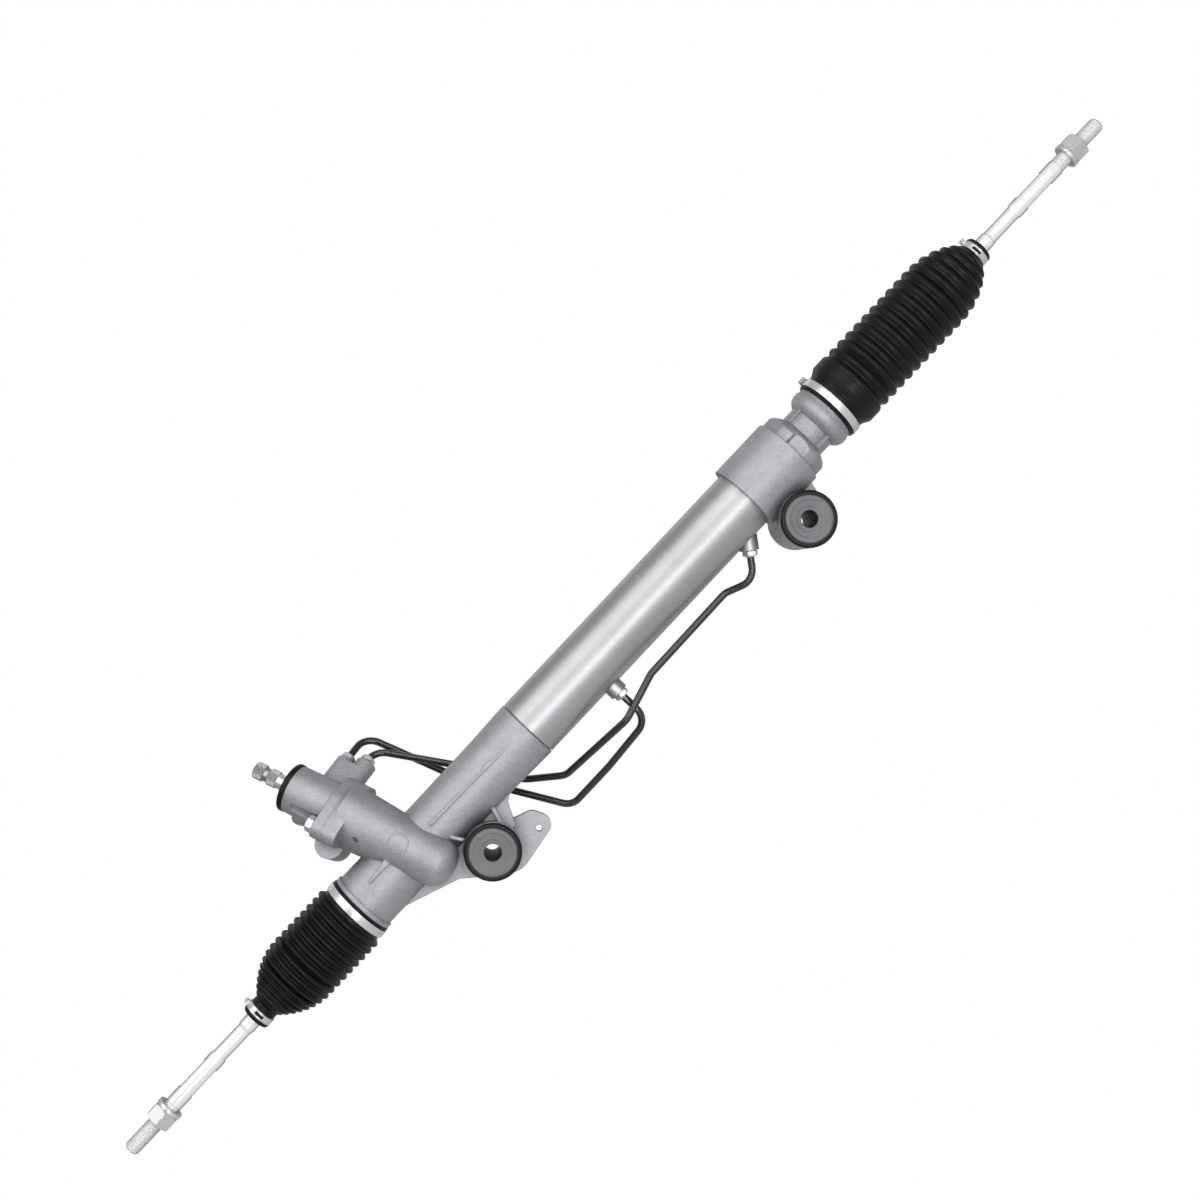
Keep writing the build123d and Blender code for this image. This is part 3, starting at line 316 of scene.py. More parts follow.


# %% Painted crevice shade group
# Painted shade: ambient occlusion darkens the colour where the surface is closed in.
def build_painted_shade():
    tree, given = shader_group("crevice_painted_shade", {"Reach": 0.008, "Amount": 1.0}, ("Mask",))
    open_sky = add_node(tree, "ShaderNodeAmbientOcclusion", {"Distance": given["Reach"]}, samples=4)
    closed = math_node(tree, "SUBTRACT", 1.0, open_sky.outputs["AO"])
    shaded = math_node(tree, "MULTIPLY", closed, given["Amount"], clamp=True)
    add_node(tree, "NodeGroupOutput", {"Mask": shaded})
    return tree


GRAIN, EDGE_WEAR, SHADE_GROUP = build_grain(), build_edge_wear(), build_painted_shade()
print("groups:", GRAIN.name, EDGE_WEAR.name, SHADE_GROUP.name)

# %% [markdown]
# ## Finishes
#
# Every metal here is the same recipe with other numbers: a dark and a light tone mixed by the
# blotches, lighter worn edges, painted shade that darkens the crevices, and a bump from the grain.
# What tells the parts apart is the direction of the grain and how rough it is. The tube is ground
# round its axis, so its grain is fine along X and long around it. The grain of the drawn tie rods runs
# along them, and a painted shade darkens their tone towards the outline.


# %% Finish helper
WEAR_WIDTH = 0.001


def use_group(tree, group, **values):
    """A group node's outputs, with its inputs set by their names."""
    return add_node(tree, "ShaderNodeGroup", titled(values), node_tree=group).outputs


def mix_colours(tree, amount, first, second, blend="MIX"):
    """Mix two colours, each a socket or an (r, g, b) tuple, by a socket or number."""
    first, second = ((*value, 1) if isinstance(value, tuple) else value for value in (first, second))
    return add_node(tree, "ShaderNodeMix", {0: amount, 6: first, 7: second}, data_type="RGBA",
                    blend_type=blend).outputs[2]


def finish_material(name, dark, light, rough, metallic=1.0, scale=900.0, stretch=(1.0, 1.0, 1.0), bump=0.2,
                    bump_height=0.0002, wear=0.6, worn=None, reach=0.006, shade_amount=0.5,
                    shade_tone=(0.05, 0.05, 0.05), round_edges=0.0008, blotch_scale=40.0, coat=0.0, specular=0.5,
                    speckle=0.0, rim=None):
    """A procedural finish: blotches, worn edges, painted shade in crevices, a painted dark outline if rim is
    set, and a grain bump.
    """
    material = bpy.data.materials.new(name)
    material.use_nodes = True
    tree = material.node_tree
    shader = tree.nodes["Principled BSDF"]
    shader.inputs["Metallic"].default_value = metallic
    shader.inputs["Coat Weight"].default_value = coat
    shader.inputs["Specular IOR Level"].default_value = specular
    height, blotch = use_group(tree, GRAIN, scale=scale, stretch=stretch, blotch_scale=blotch_scale)
    edges = use_group(tree, EDGE_WEAR, width=WEAR_WIDTH, amount=wear)
    crevice = use_group(tree, SHADE_GROUP, reach=reach, amount=shade_amount)
    tone = mix_colours(tree, blotch, dark, light)
    if speckle:
        swing = mapped(tree, height, from_min=0.3, from_max=0.7, to_min=1 - speckle, to_max=1 + speckle)
        tone = mix_colours(tree, 1.0, tone, swing, "MULTIPLY")
    tone = mix_colours(tree, edges["Mask"], tone, worn or light)
    # Painted shade: in closed-in places the colour turns towards a dark shade tone.
    tone = mix_colours(tree, crevice["Mask"], tone, shade_tone)
    # Painted shade: where the surface turns away from the view, the tone goes to the rim colour, a darker
    # outline painted in.
    if rim:
        turned_away = add_node(tree, "ShaderNodeLayerWeight").outputs["Facing"]
        tone = mix_colours(tree, mapped(tree, turned_away, from_min=0.35, from_max=0.7), tone, rim)
    tree.links.new(tone, shader.inputs["Base Color"])
    spread = mapped(tree, height, to_min=rough[0], to_max=rough[1])
    tree.links.new(spread, shader.inputs["Roughness"])
    relief = add_node(tree, "ShaderNodeBump", {"Height": height, "Strength": bump, "Distance": bump_height})
    if round_edges:
        rounded = add_node(tree, "ShaderNodeBevel", {"Radius": round_edges}, samples=6)
        tree.links.new(rounded.outputs["Normal"], relief.inputs["Normal"])
    tree.links.new(relief.outputs["Normal"], shader.inputs["Normal"])
    return material


# %% The finishes
# In each finish below, two of the numbers set the painted shade in crevices: how strong it is and its colour.
cast = finish_material(
    "cast_aluminium_skin", (0.34, 0.331, 0.351), (0.435, 0.425, 0.448), (0.42, 0.62), metallic=0.75,
    scale=620.0, bump=0.5, bump_height=0.0004, wear=0.5, worn=(0.58, 0.57, 0.59), speckle=0.16,
    round_edges=0.0014, reach=0.012, shade_amount=0.7, shade_tone=(0.09, 0.087, 0.095), blotch_scale=60.0)
tube_steel = finish_material(
    "ground_tube", (0.39, 0.387, 0.398), (0.50, 0.497, 0.51), (0.34, 0.48), scale=1.0,
    stretch=(1100.0, 26.0, 26.0), bump=0.25, bump_height=0.0001, wear=0.3, shade_amount=0.3, blotch_scale=18.0,
    round_edges=0.0005, speckle=0.06)
zinc = finish_material(
    "bright_zinc", (0.60, 0.595, 0.60), (0.76, 0.755, 0.76), (0.26, 0.40), metallic=0.8, scale=700.0,
    bump=0.0, wear=0.15, shade_amount=0.35, round_edges=0.0004)
# The rolled steel gets a painted darker outline from its rim colour.
bright_rod = finish_material(
    "rolled_steel", (0.86, 0.85, 0.845), (0.94, 0.93, 0.925), (0.28, 0.33), metallic=0.4, scale=1.0,
    stretch=(20.0, 300.0, 300.0), bump=0.0, wear=0.0, shade_amount=0.0, round_edges=0.0, rim=(0.22, 0.215, 0.21))
machined = finish_material(
    "machined_steel_finish", (0.34, 0.33, 0.33), (0.45, 0.44, 0.44), (0.30, 0.48), scale=1500.0, bump=0.15,
    wear=0.5, shade_amount=0.4, round_edges=0.0005)
bush_disc = finish_material(
    "bush_disc_steel", (0.118, 0.114, 0.121), (0.165, 0.161, 0.169), (0.40, 0.55), metallic=0.8, scale=2200.0,
    bump=0.3, wear=0.7, worn=(0.5, 0.5, 0.5), shade_amount=0.4, round_edges=0.0006)
bearing = finish_material("bearing_race", (0.58, 0.58, 0.60), (0.68, 0.68, 0.70), (0.10, 0.20), wear=0.3)
painted = finish_material(
    "black_pipe_paint", (0.005, 0.005, 0.006), (0.010, 0.010, 0.011), (0.16, 0.24), metallic=0.0, scale=500.0,
    bump=0.03, wear=0.2, worn=(0.04, 0.04, 0.04), shade_amount=0.1, shade_tone=(0.003, 0.003, 0.003), coat=0.6,
    round_edges=0.0)
rubber = finish_material(
    "boot_rubber", (0.003, 0.003, 0.0032), (0.006, 0.006, 0.0064), (0.32, 0.42), metallic=0.0, scale=1600.0,
    bump=0.25, wear=0.35, worn=(0.022, 0.022, 0.023), shade_amount=0.7, shade_tone=(0.001, 0.001, 0.001), round_edges=0.0,
    specular=0.22)
seal = finish_material(
    "seal_rubber_finish", (0.020, 0.020, 0.020), (0.035, 0.034, 0.033), (0.5, 0.65), metallic=0.0, wear=0.2,
    worn=(0.06, 0.06, 0.06))
nylon = finish_material(
    "nylon_finish", (0.62, 0.61, 0.56), (0.72, 0.71, 0.66), (0.42, 0.55), metallic=0.0, bump=0.1, wear=0.1)
bronze = finish_material(
    "bronze_liner_finish", (0.36, 0.25, 0.13), (0.50, 0.36, 0.20), (0.3, 0.45), bump=0.15)
SLOT_FINISH = {
    "cast_aluminium": cast, "steel_tube": tube_steel, "zinc_steel": zinc, "machined_steel": machined,
    "bearing_steel": bearing, "black_pipe": painted, "black_rubber": rubber, "seal_rubber": seal,
    "nylon": nylon, "bronze_liner": bronze,
}
print("finishes:", len(SLOT_FINISH))

# %% [markdown]
# ## Dressing the CAD nodes
#
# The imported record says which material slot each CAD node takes, so the finishes can be given out in
# one loop. The CAD meshes arrive as separate triangles, which would shade flat. Their meshes must
# stay as they are, but a modifier may weld the triangles and smooth the shading on the way to the
# picture. A small Geometry Nodes tree does both, and keeps edges sharper than 32 degrees crisp.


# %% Smooth shading for CAD nodes
SOCKET_KINDS = {float: "NodeSocketFloat", int: "NodeSocketInt", type(None): "NodeSocketMaterial"}


def geometry_tree(name, sizes):
    """A Geometry Nodes tree and its input sockets; a size of None stands for a material."""
    tree = bpy.data.node_groups.new(name, "GeometryNodeTree")
    for way in ("INPUT", "OUTPUT"):
        tree.interface.new_socket("Geometry", in_out=way, socket_type="NodeSocketGeometry")
    for label, value in sizes.items():
        socket = tree.interface.new_socket(label, in_out="INPUT", socket_type=SOCKET_KINDS[type(value)])
        if value is not None:
            socket.default_value = value
    return tree, tree.nodes.new("NodeGroupInput").outputs


def build_smoother():
    tree, given = geometry_tree("weld_and_smooth", {"Sharp Angle": math.radians(32)})
    weld = add_node(tree, "GeometryNodeMergeByDistance", {"Geometry": given["Geometry"], "Distance": 1e-6})
    smooth = add_node(tree, "GeometryNodeSetShadeSmooth", {"Geometry": weld.outputs["Geometry"]})
    edge_angle = add_node(tree, "GeometryNodeInputMeshEdgeAngle").outputs["Unsigned Angle"]
    gentle = add_node(tree, "FunctionNodeCompare", {0: edge_angle, 1: given["Sharp Angle"]},
                      operation="LESS_THAN")
    crease = add_node(tree, "GeometryNodeSetShadeSmooth", {
        "Geometry": smooth.outputs["Geometry"], "Shade Smooth": gentle.outputs[0]}, domain="EDGE")
    add_node(tree, "NodeGroupOutput", {"Geometry": crease.outputs["Geometry"]})
    return tree


SMOOTHER = build_smoother()
node_slot = {part["node"]: part["material_slot"] for part in frame["record"]["subparts"]}
for node_name, node in frame["nodes"].items():
    node.data.materials.clear()
    node.data.materials.append(SLOT_FINISH[node_slot[node_name]])
    node.modifiers.new("smooth", "NODES").node_group = SMOOTHER
print("dressed", len(frame["nodes"]), "CAD nodes")

# %% [markdown]
# ## Number fields
#
# Geometry Nodes do sums with Math nodes, and a formula for a folded boot needs dozens of them. A small
# class can hide the wiring: `a + b`, `a * b` or `a.sine()` each add one Math node to the tree. The
# trees below then read like the formulas that they are, and every size stays a named input.


# %% Field helper
class Field:
    """A number in a node tree. Sums with it add Math nodes."""

    def __init__(self, tree, socket):
        self.tree, self.socket = tree, socket

    def using(self, operation, other=None):
        if isinstance(other, Field):
            other = other.socket
        return Field(self.tree, math_node(self.tree, operation, self.socket, other))

    def from_one(self):
        return self * -1.0 + 1.0

    def ease(self):
        held = self.most(0.0).least(1.0)
        return held * held * (held * -2.0 + 3.0)


FIELD_SUMS = {
    "__add__": "ADD", "__sub__": "SUBTRACT", "__mul__": "MULTIPLY", "__truediv__": "DIVIDE",
    "least": "MINIMUM", "most": "MAXIMUM", "power": "POWER", "sine": "SINE", "cosine": "COSINE",
    "size": "ABSOLUTE", "part": "FRACT"}
for method, operation in FIELD_SUMS.items():
    setattr(Field, method, partialmethod(Field.using, operation))


class TurnedTree:
    """A tree that wraps a grid round the local Z axis: `along` runs from From to To, `angle` once round."""

    def __init__(self, name, sizes):
        self.tree, self.given = geometry_tree(
            name, {"From": 0.0, "To": 10.0, "Rings": 40, "Spokes": 64, **sizes, "Finish": None})
        self.grid = add_node(self.tree, "GeometryNodeMeshGrid", {
            "Vertices X": self.given["Rings"], "Vertices Y": self.given["Spokes"]})
        place = add_node(self.tree, "GeometryNodeInputPosition")
        split = add_node(self.tree, "ShaderNodeSeparateXYZ", {0: place.outputs[0]})
        share = Field(self.tree, split.outputs["X"]) + 0.5
        self.along = self["From"] + share * (self["To"] - self["From"])
        self.angle = (Field(self.tree, split.outputs["Y"]) + 0.5) * math.tau

    def __getitem__(self, label):
        return Field(self.tree, self.given[label])

    def finish(self, radius):
        """Place the grid at the radius, close the seam, and give it its finish."""
        spot = add_node(self.tree, "ShaderNodeCombineXYZ", {
            "X": (radius * self.angle.cosine()).socket, "Y": (radius * self.angle.sine() * -1.0).socket,
            "Z": self.along.socket})
        step = add_node(self.tree, "GeometryNodeSetPosition", {
            "Geometry": self.grid.outputs["Mesh"], "Position": spot.outputs[0]})
        for kind, inputs in (("MergeByDistance", {"Distance": 0.001}), ("RealizeInstances", {}),
                             ("SetShadeSmooth", {}), ("SetMaterial", {"Material": self.given["Finish"]})):
            step = add_node(self.tree, "GeometryNode" + kind, {"Geometry": step.outputs[0], **inputs})
        add_node(self.tree, "NodeGroupOutput", {"Geometry": step.outputs[0]})
        return self.tree


# %% From a tree to a plain mesh
def grown(name, tree, finish, placed, **sizes):
    """Run a tree with these sizes and give back its mesh, placed in the row frame in metres."""
    carrier = put(name + "_carrier", bpy.data.meshes.new(name))
    modifier = carrier.modifiers.new("grow", "NODES")
    modifier.node_group = tree
    wanted = titled({**sizes, "finish": finish})
    for item in tree.interface.items_tree:
        if item.item_type == "SOCKET" and item.in_out == "INPUT" and item.name in wanted:
            modifier[item.identifier] = wanted.pop(item.name)
    assert not wanted, wanted
    graph = bpy.context.evaluated_depsgraph_get()
    mesh = bpy.data.meshes.new_from_object(carrier.evaluated_get(graph), depsgraph=graph)
    bpy.data.objects.remove(carrier)
    mesh.name = name
    mesh.transform(placed)
    return mesh


def ridged(name, tree, finish, placed, degrees, **sizes):
    """A grown skin with filled ends, crisp at the edges sharper than this."""
    mesh = grown(name, tree, finish, placed, **sizes)
    work = bmesh.new()
    work.from_mesh(mesh)
    bmesh.ops.holes_fill(work, edges=[e for e in work.edges if e.is_boundary])
    work.to_mesh(mesh)
    work.free()
    mesh.set_sharp_from_angle(angle=math.radians(degrees))
    return put(name, mesh)


def thicken(mesh, wall):
    """Give an open skin a wall inwards, with closed rims."""
    work = bmesh.new()
    work.from_mesh(mesh)
    outer = list(work.faces)
    work.normal_update()
    inner_of = {v: work.verts.new(v.co - v.normal * wall) for v in list(work.verts)}
    rim = [e for e in work.edges if e.is_boundary]
    for face in outer:
        turned = work.faces.new([inner_of[v] for v in reversed(face.verts)])
        turned.material_index, turned.smooth = face.material_index, True
    for edge in rim:
        loop = edge.link_loops[0]
        first, second = loop.vert, loop.link_loop_next.vert
        work.faces.new([second, first, inner_of[first], inner_of[second]])
    work.to_mesh(mesh)
    work.free()


print("tree helpers ready")

# %% [markdown]
# ## Turned parts
#
# Discs, bands, sleeves and shafts are all turned on a lathe, so one helper spins a profile round the
# local Z axis. The profile is a closed or open line of (height, radius) points in millimetres. A
# rounded corner is worth its few faces, because it is what catches the light on a real edge.


# %% Lathe helper
def piece_from_work(name, work, placed, finish, degrees, outward=True):
    """Turn a bmesh in local millimetres into a piece in its place, smooth but for sharper edges."""
    if outward:
        bmesh.ops.recalc_face_normals(work, faces=work.faces)
    mesh = bpy.data.meshes.new(name)
    work.to_mesh(mesh)
    work.free()
    mesh.transform(placed)
    mesh.polygons.foreach_set("use_smooth", [True] * len(mesh.polygons))
    mesh.set_sharp_from_angle(angle=math.radians(degrees))
    mesh.materials.append(finish)
    return put(name, mesh)


def skin(work, rings, closed=False):
    """Join each ring of points to the next. A ring may be a single point."""
    pairs = list(zip(rings, rings[1:])) + ([(rings[-1], rings[0])] if closed else [])
    for low, high in pairs:
        spokes = max(len(low), len(high))
        for spoke in range(spokes):
            after = (spoke + 1) % spokes
            corners = (low[spoke % len(low)], low[after % len(low)], high[after % len(high)],
                       high[spoke % len(high)])
            face = list(dict.fromkeys(corners))
            if len(face) > 2:
                work.faces.new(face)


def rounded_profile(corners, radius, steps=3):
    """Round the corners of a (height, radius) line; a corner may carry its own radius as a third value."""
    points = []
    count = len(corners)
    for index, corner in enumerate(corners):
        here = Vector(corner[:2])
        bend = corner[2] if len(corner) > 2 else radius
        before, after = Vector(corners[index - 1][:2]), Vector(corners[(index + 1) % count][:2])
        to_before, to_after = before - here, after - here
        bend = min(bend, to_before.length * 0.45, to_after.length * 0.45)
        if bend <= 0.001 or index in (0, count - 1) and here.y == 0:
            points.append(tuple(here))
            continue
        start, end = here + to_before.normalized() * bend, here + to_after.normalized() * bend
        for step in range(steps + 1):
            share = step / steps
            spot = start.lerp(here, share).lerp(here.lerp(end, share), share)
            points.append(tuple(spot))
    return points


def spun(name, corners, placed, finish, spokes=96, radius=0.4, closed=True, smooth=40, shape=None):
    """Spin a profile round local Z. `shape(angle, height, radius)` may change a point's radius."""
    work = bmesh.new()
    rings = []
    for height, reach in rounded_profile(corners, radius):
        if reach <= 1e-6:
            rings.append([work.verts.new((0, 0, height))])
            continue
        ring = []
        for spoke in range(spokes):
            angle = math.tau * spoke / spokes
            far = shape(angle, height, reach) if shape else reach
            ring.append(work.verts.new((far * math.cos(angle), far * math.sin(angle), height)))
        rings.append(ring)
    skin(work, rings, closed and len(rings[0]) > 1)
    return piece_from_work(name, work, placed, finish, smooth)


def tube_ring(name, low, high, inside, outside, placed, finish, **options):
    """A ring with four corners, such as a band or a collar."""
    corners = [(low, inside), (low, outside), (high, outside), (high, inside)]
    return spun(name, corners, placed, finish, **options)


def joined(name, pieces):
    """Join pieces into one and name it."""
    with bpy.context.temp_override(active_object=pieces[0], selected_editable_objects=pieces,
                                   selected_objects=pieces, object=pieces[0]):
        bpy.ops.object.join()
    pieces[0].name = name
    return pieces[0]


print("lathe ready")

# %% [markdown]
# ## Folded boots
#
# The rubber boots are the darkest and liveliest part of the picture. A boot is a turned shape whose
# radius follows a rule: a smooth cuff, then a row of round crests with narrow valleys between them,
# and an envelope that closes in towards the tie rod. A Geometry Nodes tree can hold that rule, so the
# pitch, depth and taper stay inputs that can be tried out.
#
# A boot also crosses three joints: the rack slides, and the ball joint swings two ways. The tree
# gives neighbours the same ring where they meet.

# %% Boot tree
boot = TurnedTree("folded_boot", {
    "First Crest": 18.0, "Pitch": 10.4, "Crest Radius": 34.0, "Depth": 3.1, "Cuff Radius": 29.9,
    "Cuff Length": 13.0, "Flare": 9.0, "Taper Start": 130.0, "Taper Length": 52.0, "Taper Power": 0.7,
    "Small Radius": 12.0, "Crowd Start": 166.0, "Crowding": 0.0177, "End Bead": 196.0})
distance = boot.along
crowded = (distance - boot["Crowd Start"]).most(0.0)
folds = ((distance - boot["First Crest"]).most(0.0) + crowded * crowded * boot["Crowding"]) / boot["Pitch"]
valley = ((folds + 0.5) * math.pi).sine().size().power(1.6).from_one()
taper = ((distance - boot["Taper Start"]) / boot["Taper Length"]).most(0.0).least(1.0)
fullness = (taper * taper).from_one().most(0.0).power(boot["Taper Power"])
envelope = boot["Small Radius"] + (boot["Crest Radius"] - boot["Small Radius"]) * fullness
fading = (fullness * 1.6).least(1.0)
folded = envelope - valley * boot["Depth"] * fading
flare = ((distance - boot["Cuff Length"]) / boot["Flare"]).ease()
cuffed = boot["Cuff Radius"] + (folded - boot["Cuff Radius"]) * flare
lip_bead = ((distance - 1.4).size() / 1.4).from_one().most(0.0).power(0.6) * 0.9
end_bead = ((distance - boot["End Bead"]).size() / 1.6).from_one().most(0.0).power(0.6) * 1.1
BOOT = boot.finish((cuffed + lip_bead + end_bead).most(boot["Small Radius"]))
print("boot tree has", len(BOOT.nodes), "nodes")


# %% Weights along the sliding part
def eased_place(weight):
    """Where along a blend the smooth step reaches this weight."""
    return 0.5 - math.sin(math.asin(1 - 2 * weight) / 3)


SLIDE_WEIGHTS = (0.0, 0.03, 0.1, 0.25, 0.5, 0.75, 0.9, 0.97, 1.0)


def slide_groups(first, last):
    """Split the sliding length into groups, sized by how steeply the smooth step rises across each pair of
    weights.
    """
    places = [eased_place(w) for w in SLIDE_WEIGHTS]
    steepest = [max(6 * t * (1 - t) if not a < 0.5 < b else 1.5 for t in (a, b))
                for a, b in zip(places, places[1:])]
    shares = [slope * (b - a) for slope, a, b in zip(steepest, places, places[1:])]
    edges = [first]
    for share in shares:
        edges.append(edges[-1] + (last - first) * share / sum(shares))
    groups = []
    for index, (near, far) in enumerate(zip(edges, edges[1:])):
        step = (far - near) / (places[index + 1] - places[index])
        start = near - places[index] * step
        groups.append((near, far, start, start + step))
    return groups


# %% Grow the boots
BOOT_WALL = 1.5
RING_STEP = 0.65
CUFF_END = 14.0


def boot_length(name, side, near, far, **sizes):
    """One length of a boot from distance near to far, with its wall."""
    lip, _, sign = SIDES[side]
    rings = max(3, round((far - near) / RING_STEP))
    # 'From' is a Python word, so the two ends go in as a dictionary.
    ends = {"From": near, "To": far}
    mesh = grown(name, BOOT, rubber, rack_frame(lip, sign), rings=rings, spokes=81, **ends, **sizes)
    thicken(mesh, BOOT_WALL * MM)
    return put(name, mesh)


def grow_boot(side, slide_end, swing_end, throat_end, total, **sizes):
    name = "boot_" + side

    cuff = boot_length(name + "_cuff", side, 0.0, CUFF_END, **sizes)
    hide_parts("bellows_" + side)
    pieces = [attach(cuff, "housing")]
    for number, (near, far, start, end) in enumerate(slide_groups(CUFF_END, slide_end), 1):
        group = boot_length(f"{name}_folds_{number}", side, near, far, **sizes)
        pieces.append(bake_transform(group))
    shoulder = boot_length(name + "_shoulder", side, slide_end, swing_end, **sizes)
    pieces.append(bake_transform(shoulder))
    throat = boot_length(name + "_throat", side, swing_end, throat_end, **sizes)
    pieces.append(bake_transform(throat))
    sleeve = boot_length(name + "_sleeve", side, throat_end, total, **sizes)
    pieces.append(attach(sleeve, "tie_rod_" + side))
    print(name, "lengths:", len(pieces), "faces:", sum(len(p.data.polygons) for p in pieces))


grow_boot("right", 141.0, 158.0, 187.5, 198.4, first_crest=32.8, pitch=10.3, taper_start=138.4,
          taper_length=50.2, taper_power=0.7, crowd_start=166.7, crowding=0.0177, end_bead=196.4, flare=10.0)
grow_boot("left", 88.0, 98.0, 120.0, 133.0, first_crest=17.6, pitch=7.65, taper_start=74.0,
          taper_length=44.0, taper_power=0.9, crowd_start=71.2, crowding=0.008, end_bead=131.0, flare=4.6)

# %% [markdown]
# ## Band clamps
#
# A bright steel band holds each boot's cuff on its housing, drawn tight by a small crimped ear. The
# band is a turned ring with rounded edges, and the ear a short loop of strip. On the tie rod end sits
# a narrower spring clip with a window in it, and two tabs that pliers squeeze to open it.


# %% Strip helper
def bent_strip(name, points, width, thick, placed, finish):
    """A strip of sheet metal that follows points in the local XY plane; its width lies along Z."""
    work = bmesh.new()
    rings = []
    for index, (x, y) in enumerate(points):
        ahead = Vector(points[min(index + 1, len(points) - 1)]) - Vector(points[max(index - 1, 0)])
        side = Vector((-ahead.y, ahead.x)).normalized() * thick / 2
        rings.append([work.verts.new((x + sign * side.x, y + sign * side.y, z * width / 2))
                      for sign, z in ((1, -1), (1, 1), (-1, 1), (-1, -1))])
    skin(work, rings)
    for end in (rings[0], rings[-1]):
        work.faces.new(end)
    bmesh.ops.recalc_face_normals(work, faces=work.faces)
    bmesh.ops.bevel(work, geom=[e for e in work.edges if e.calc_face_angle(0) > 1.2], offset=thick * 0.25,
                    segments=2, affect="EDGES")
    return piece_from_work(name, work, placed, finish, 40, outward=False)


def arc_points(middle, radius, start, end, steps):
    """Points on an arc round (middle, 0), angles in degrees."""
    angles = [math.radians(start + (end - start) * step / steps) for step in range(steps + 1)]
    return [(middle + radius * math.cos(angle), radius * math.sin(angle)) for angle in angles]


# %% Wide clamps
CLAMP_INSIDE, CLAMP_OUTSIDE = 29.95, 31.25
CLAMP_AT = 6.5
for side, ear_turn in (("left", 115), ("right", -8)):
    lip, _, sign = SIDES[side]
    place = rack_frame(lip + sign * CLAMP_AT, sign) @ Matrix.Rotation(math.radians(ear_turn), 4, "Z")
    band = tube_ring("clamp_band", -3.5, 3.5, CLAMP_INSIDE, CLAMP_OUTSIDE, place, zinc, spokes=128,
                     radius=0.3)
    ear_line = [(CLAMP_OUTSIDE + 0.3, -4.0), (CLAMP_OUTSIDE + 0.4, -2.6),
                *arc_points(CLAMP_OUTSIDE + 2.0, 1.6, -120, 120, 14),
                (CLAMP_OUTSIDE + 0.4, 2.6), (CLAMP_OUTSIDE + 0.3, 4.0)]
    ear = bent_strip("clamp_ear", ear_line, 6.4, 1.0, place, machined)
    clamp = joined("boot_clamp_" + side, [band, ear])
    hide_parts("bellows_clamp_" + side)
    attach(clamp, "housing")
print("wide clamps done")

# %% Small spring clips
CLIP_RADIUS = 12.5
CLIP_AT = 79.0
CLIP_THICK = 1.1
for side, front in (("left", -92), ("right", 84)):
    _, ball, sign = SIDES[side]
    place = rack_frame(ball + sign * CLIP_AT, sign)
    band_line = arc_points(0, CLIP_RADIUS, front + 21, front + 339, 60)
    parts = [bent_strip("clip_band", band_line, 6.2, CLIP_THICK, place, zinc)]
    rail_line = arc_points(0, CLIP_RADIUS, front - 22, front + 22, 10)
    for edge in (-2.15, 2.15):
        shifted = place @ Matrix.Translation((0, 0, edge))
        parts.append(bent_strip("clip_rail", rail_line, 1.9, CLIP_THICK, shifted, zinc))
    for way in (-1, 1):
        tab = [(11.9, way * 3.0), (13.6, way * 2.6), (15.6, way * 2.8), (17.0, way * 4.0)]
        parts.append(bent_strip("clip_tab", tab, 3.4, CLIP_THICK, place, zinc))
    clip = joined("spring_clip_" + side, parts)
    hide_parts("small_clip_" + side)
    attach(clip, "tie_rod_" + side)
print("spring clips done")

# %% [markdown]
# ## Threads and tie rods
#
# A thread is a ridge that climbs one pitch in each turn. On the wrapped grid that is a zigzag of the
# height minus the share of a turn, which another small tree can hold. The rest of the rod is turned:
# a thin neck, the land that the boot seals on, a waist, and a body with two rolled flats. The ball at
# its root is a CAD node of its own.

# %% Thread tree
thread = TurnedTree("screw_thread", {"Crest Radius": 7.0, "Thread Depth": 0.85, "Thread Pitch": 1.5,
                                     "Run Out": 2.0, "Chamfer": 1.6})
turns = thread.along / thread["Thread Pitch"] - thread.angle / math.tau
tooth = ((turns.part() - 0.5).size() * 2.6 - 0.15).most(0.0).least(1.0)
from_start = ((thread.along - thread["From"]) / thread["Run Out"]).least(1.0)
ridge = thread["Crest Radius"] - tooth * thread["Thread Depth"] * from_start
end_cone = thread["Crest Radius"] - (thread.along - thread["To"] + thread["Chamfer"]).most(0.0)
THREAD = thread.finish(ridge.least(end_cone))
print("thread tree has", len(THREAD.nodes), "nodes")

# %% Tie rods
FLATS_FROM, FLATS_TO, HALF_FLAT = 141.0, 171.0, 6.5
ROD_LINE = [
    (7.2, 0), (7.2, 6.0), (68, 6.0, 1), (70, 7.25, 0.6), (96, 7.25, 0.6), (98, 6.45, 0.8), (129, 6.45, 0.8),
    (131, 7.5, 0.5), (140.5, 7.5), (141.5, 7.5, 0), (170.5, 7.5, 0), (171.5, 7.5, 0), (184.8, 7.5, 0.4),
    (185.7, 7.0, 0.1), (186.5, 7.0, 0), (186.5, 0, 0)]
THREAD_ENDS = {"From": 186.0, "To": 238.5}


def rod_flats(angle, height, reach):
    """Spanner flats on the body between two heights."""
    if not FLATS_FROM < height < FLATS_TO:
        return reach
    return min(reach, HALF_FLAT / max(abs(math.cos(angle)), 1e-6))


for side in ("left", "right"):
    _, ball, sign = SIDES[side]
    place = rack_frame(ball, sign)
    rod = spun("rod_blank", ROD_LINE, place, bright_rod, radius=0.0, closed=False, smooth=30, shape=rod_flats)
    threads = ridged("rod_thread", THREAD, bright_rod, place, 50, rings=420, spokes=65, **THREAD_ENDS)
    tie_rod = joined("tie_rod_bar_" + side, [rod, threads])
    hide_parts("tie_rod_" + side)
    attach(tie_rod, "tie_rod_" + side)
    print("tie rod", side, "faces:", len(tie_rod.data.polygons))

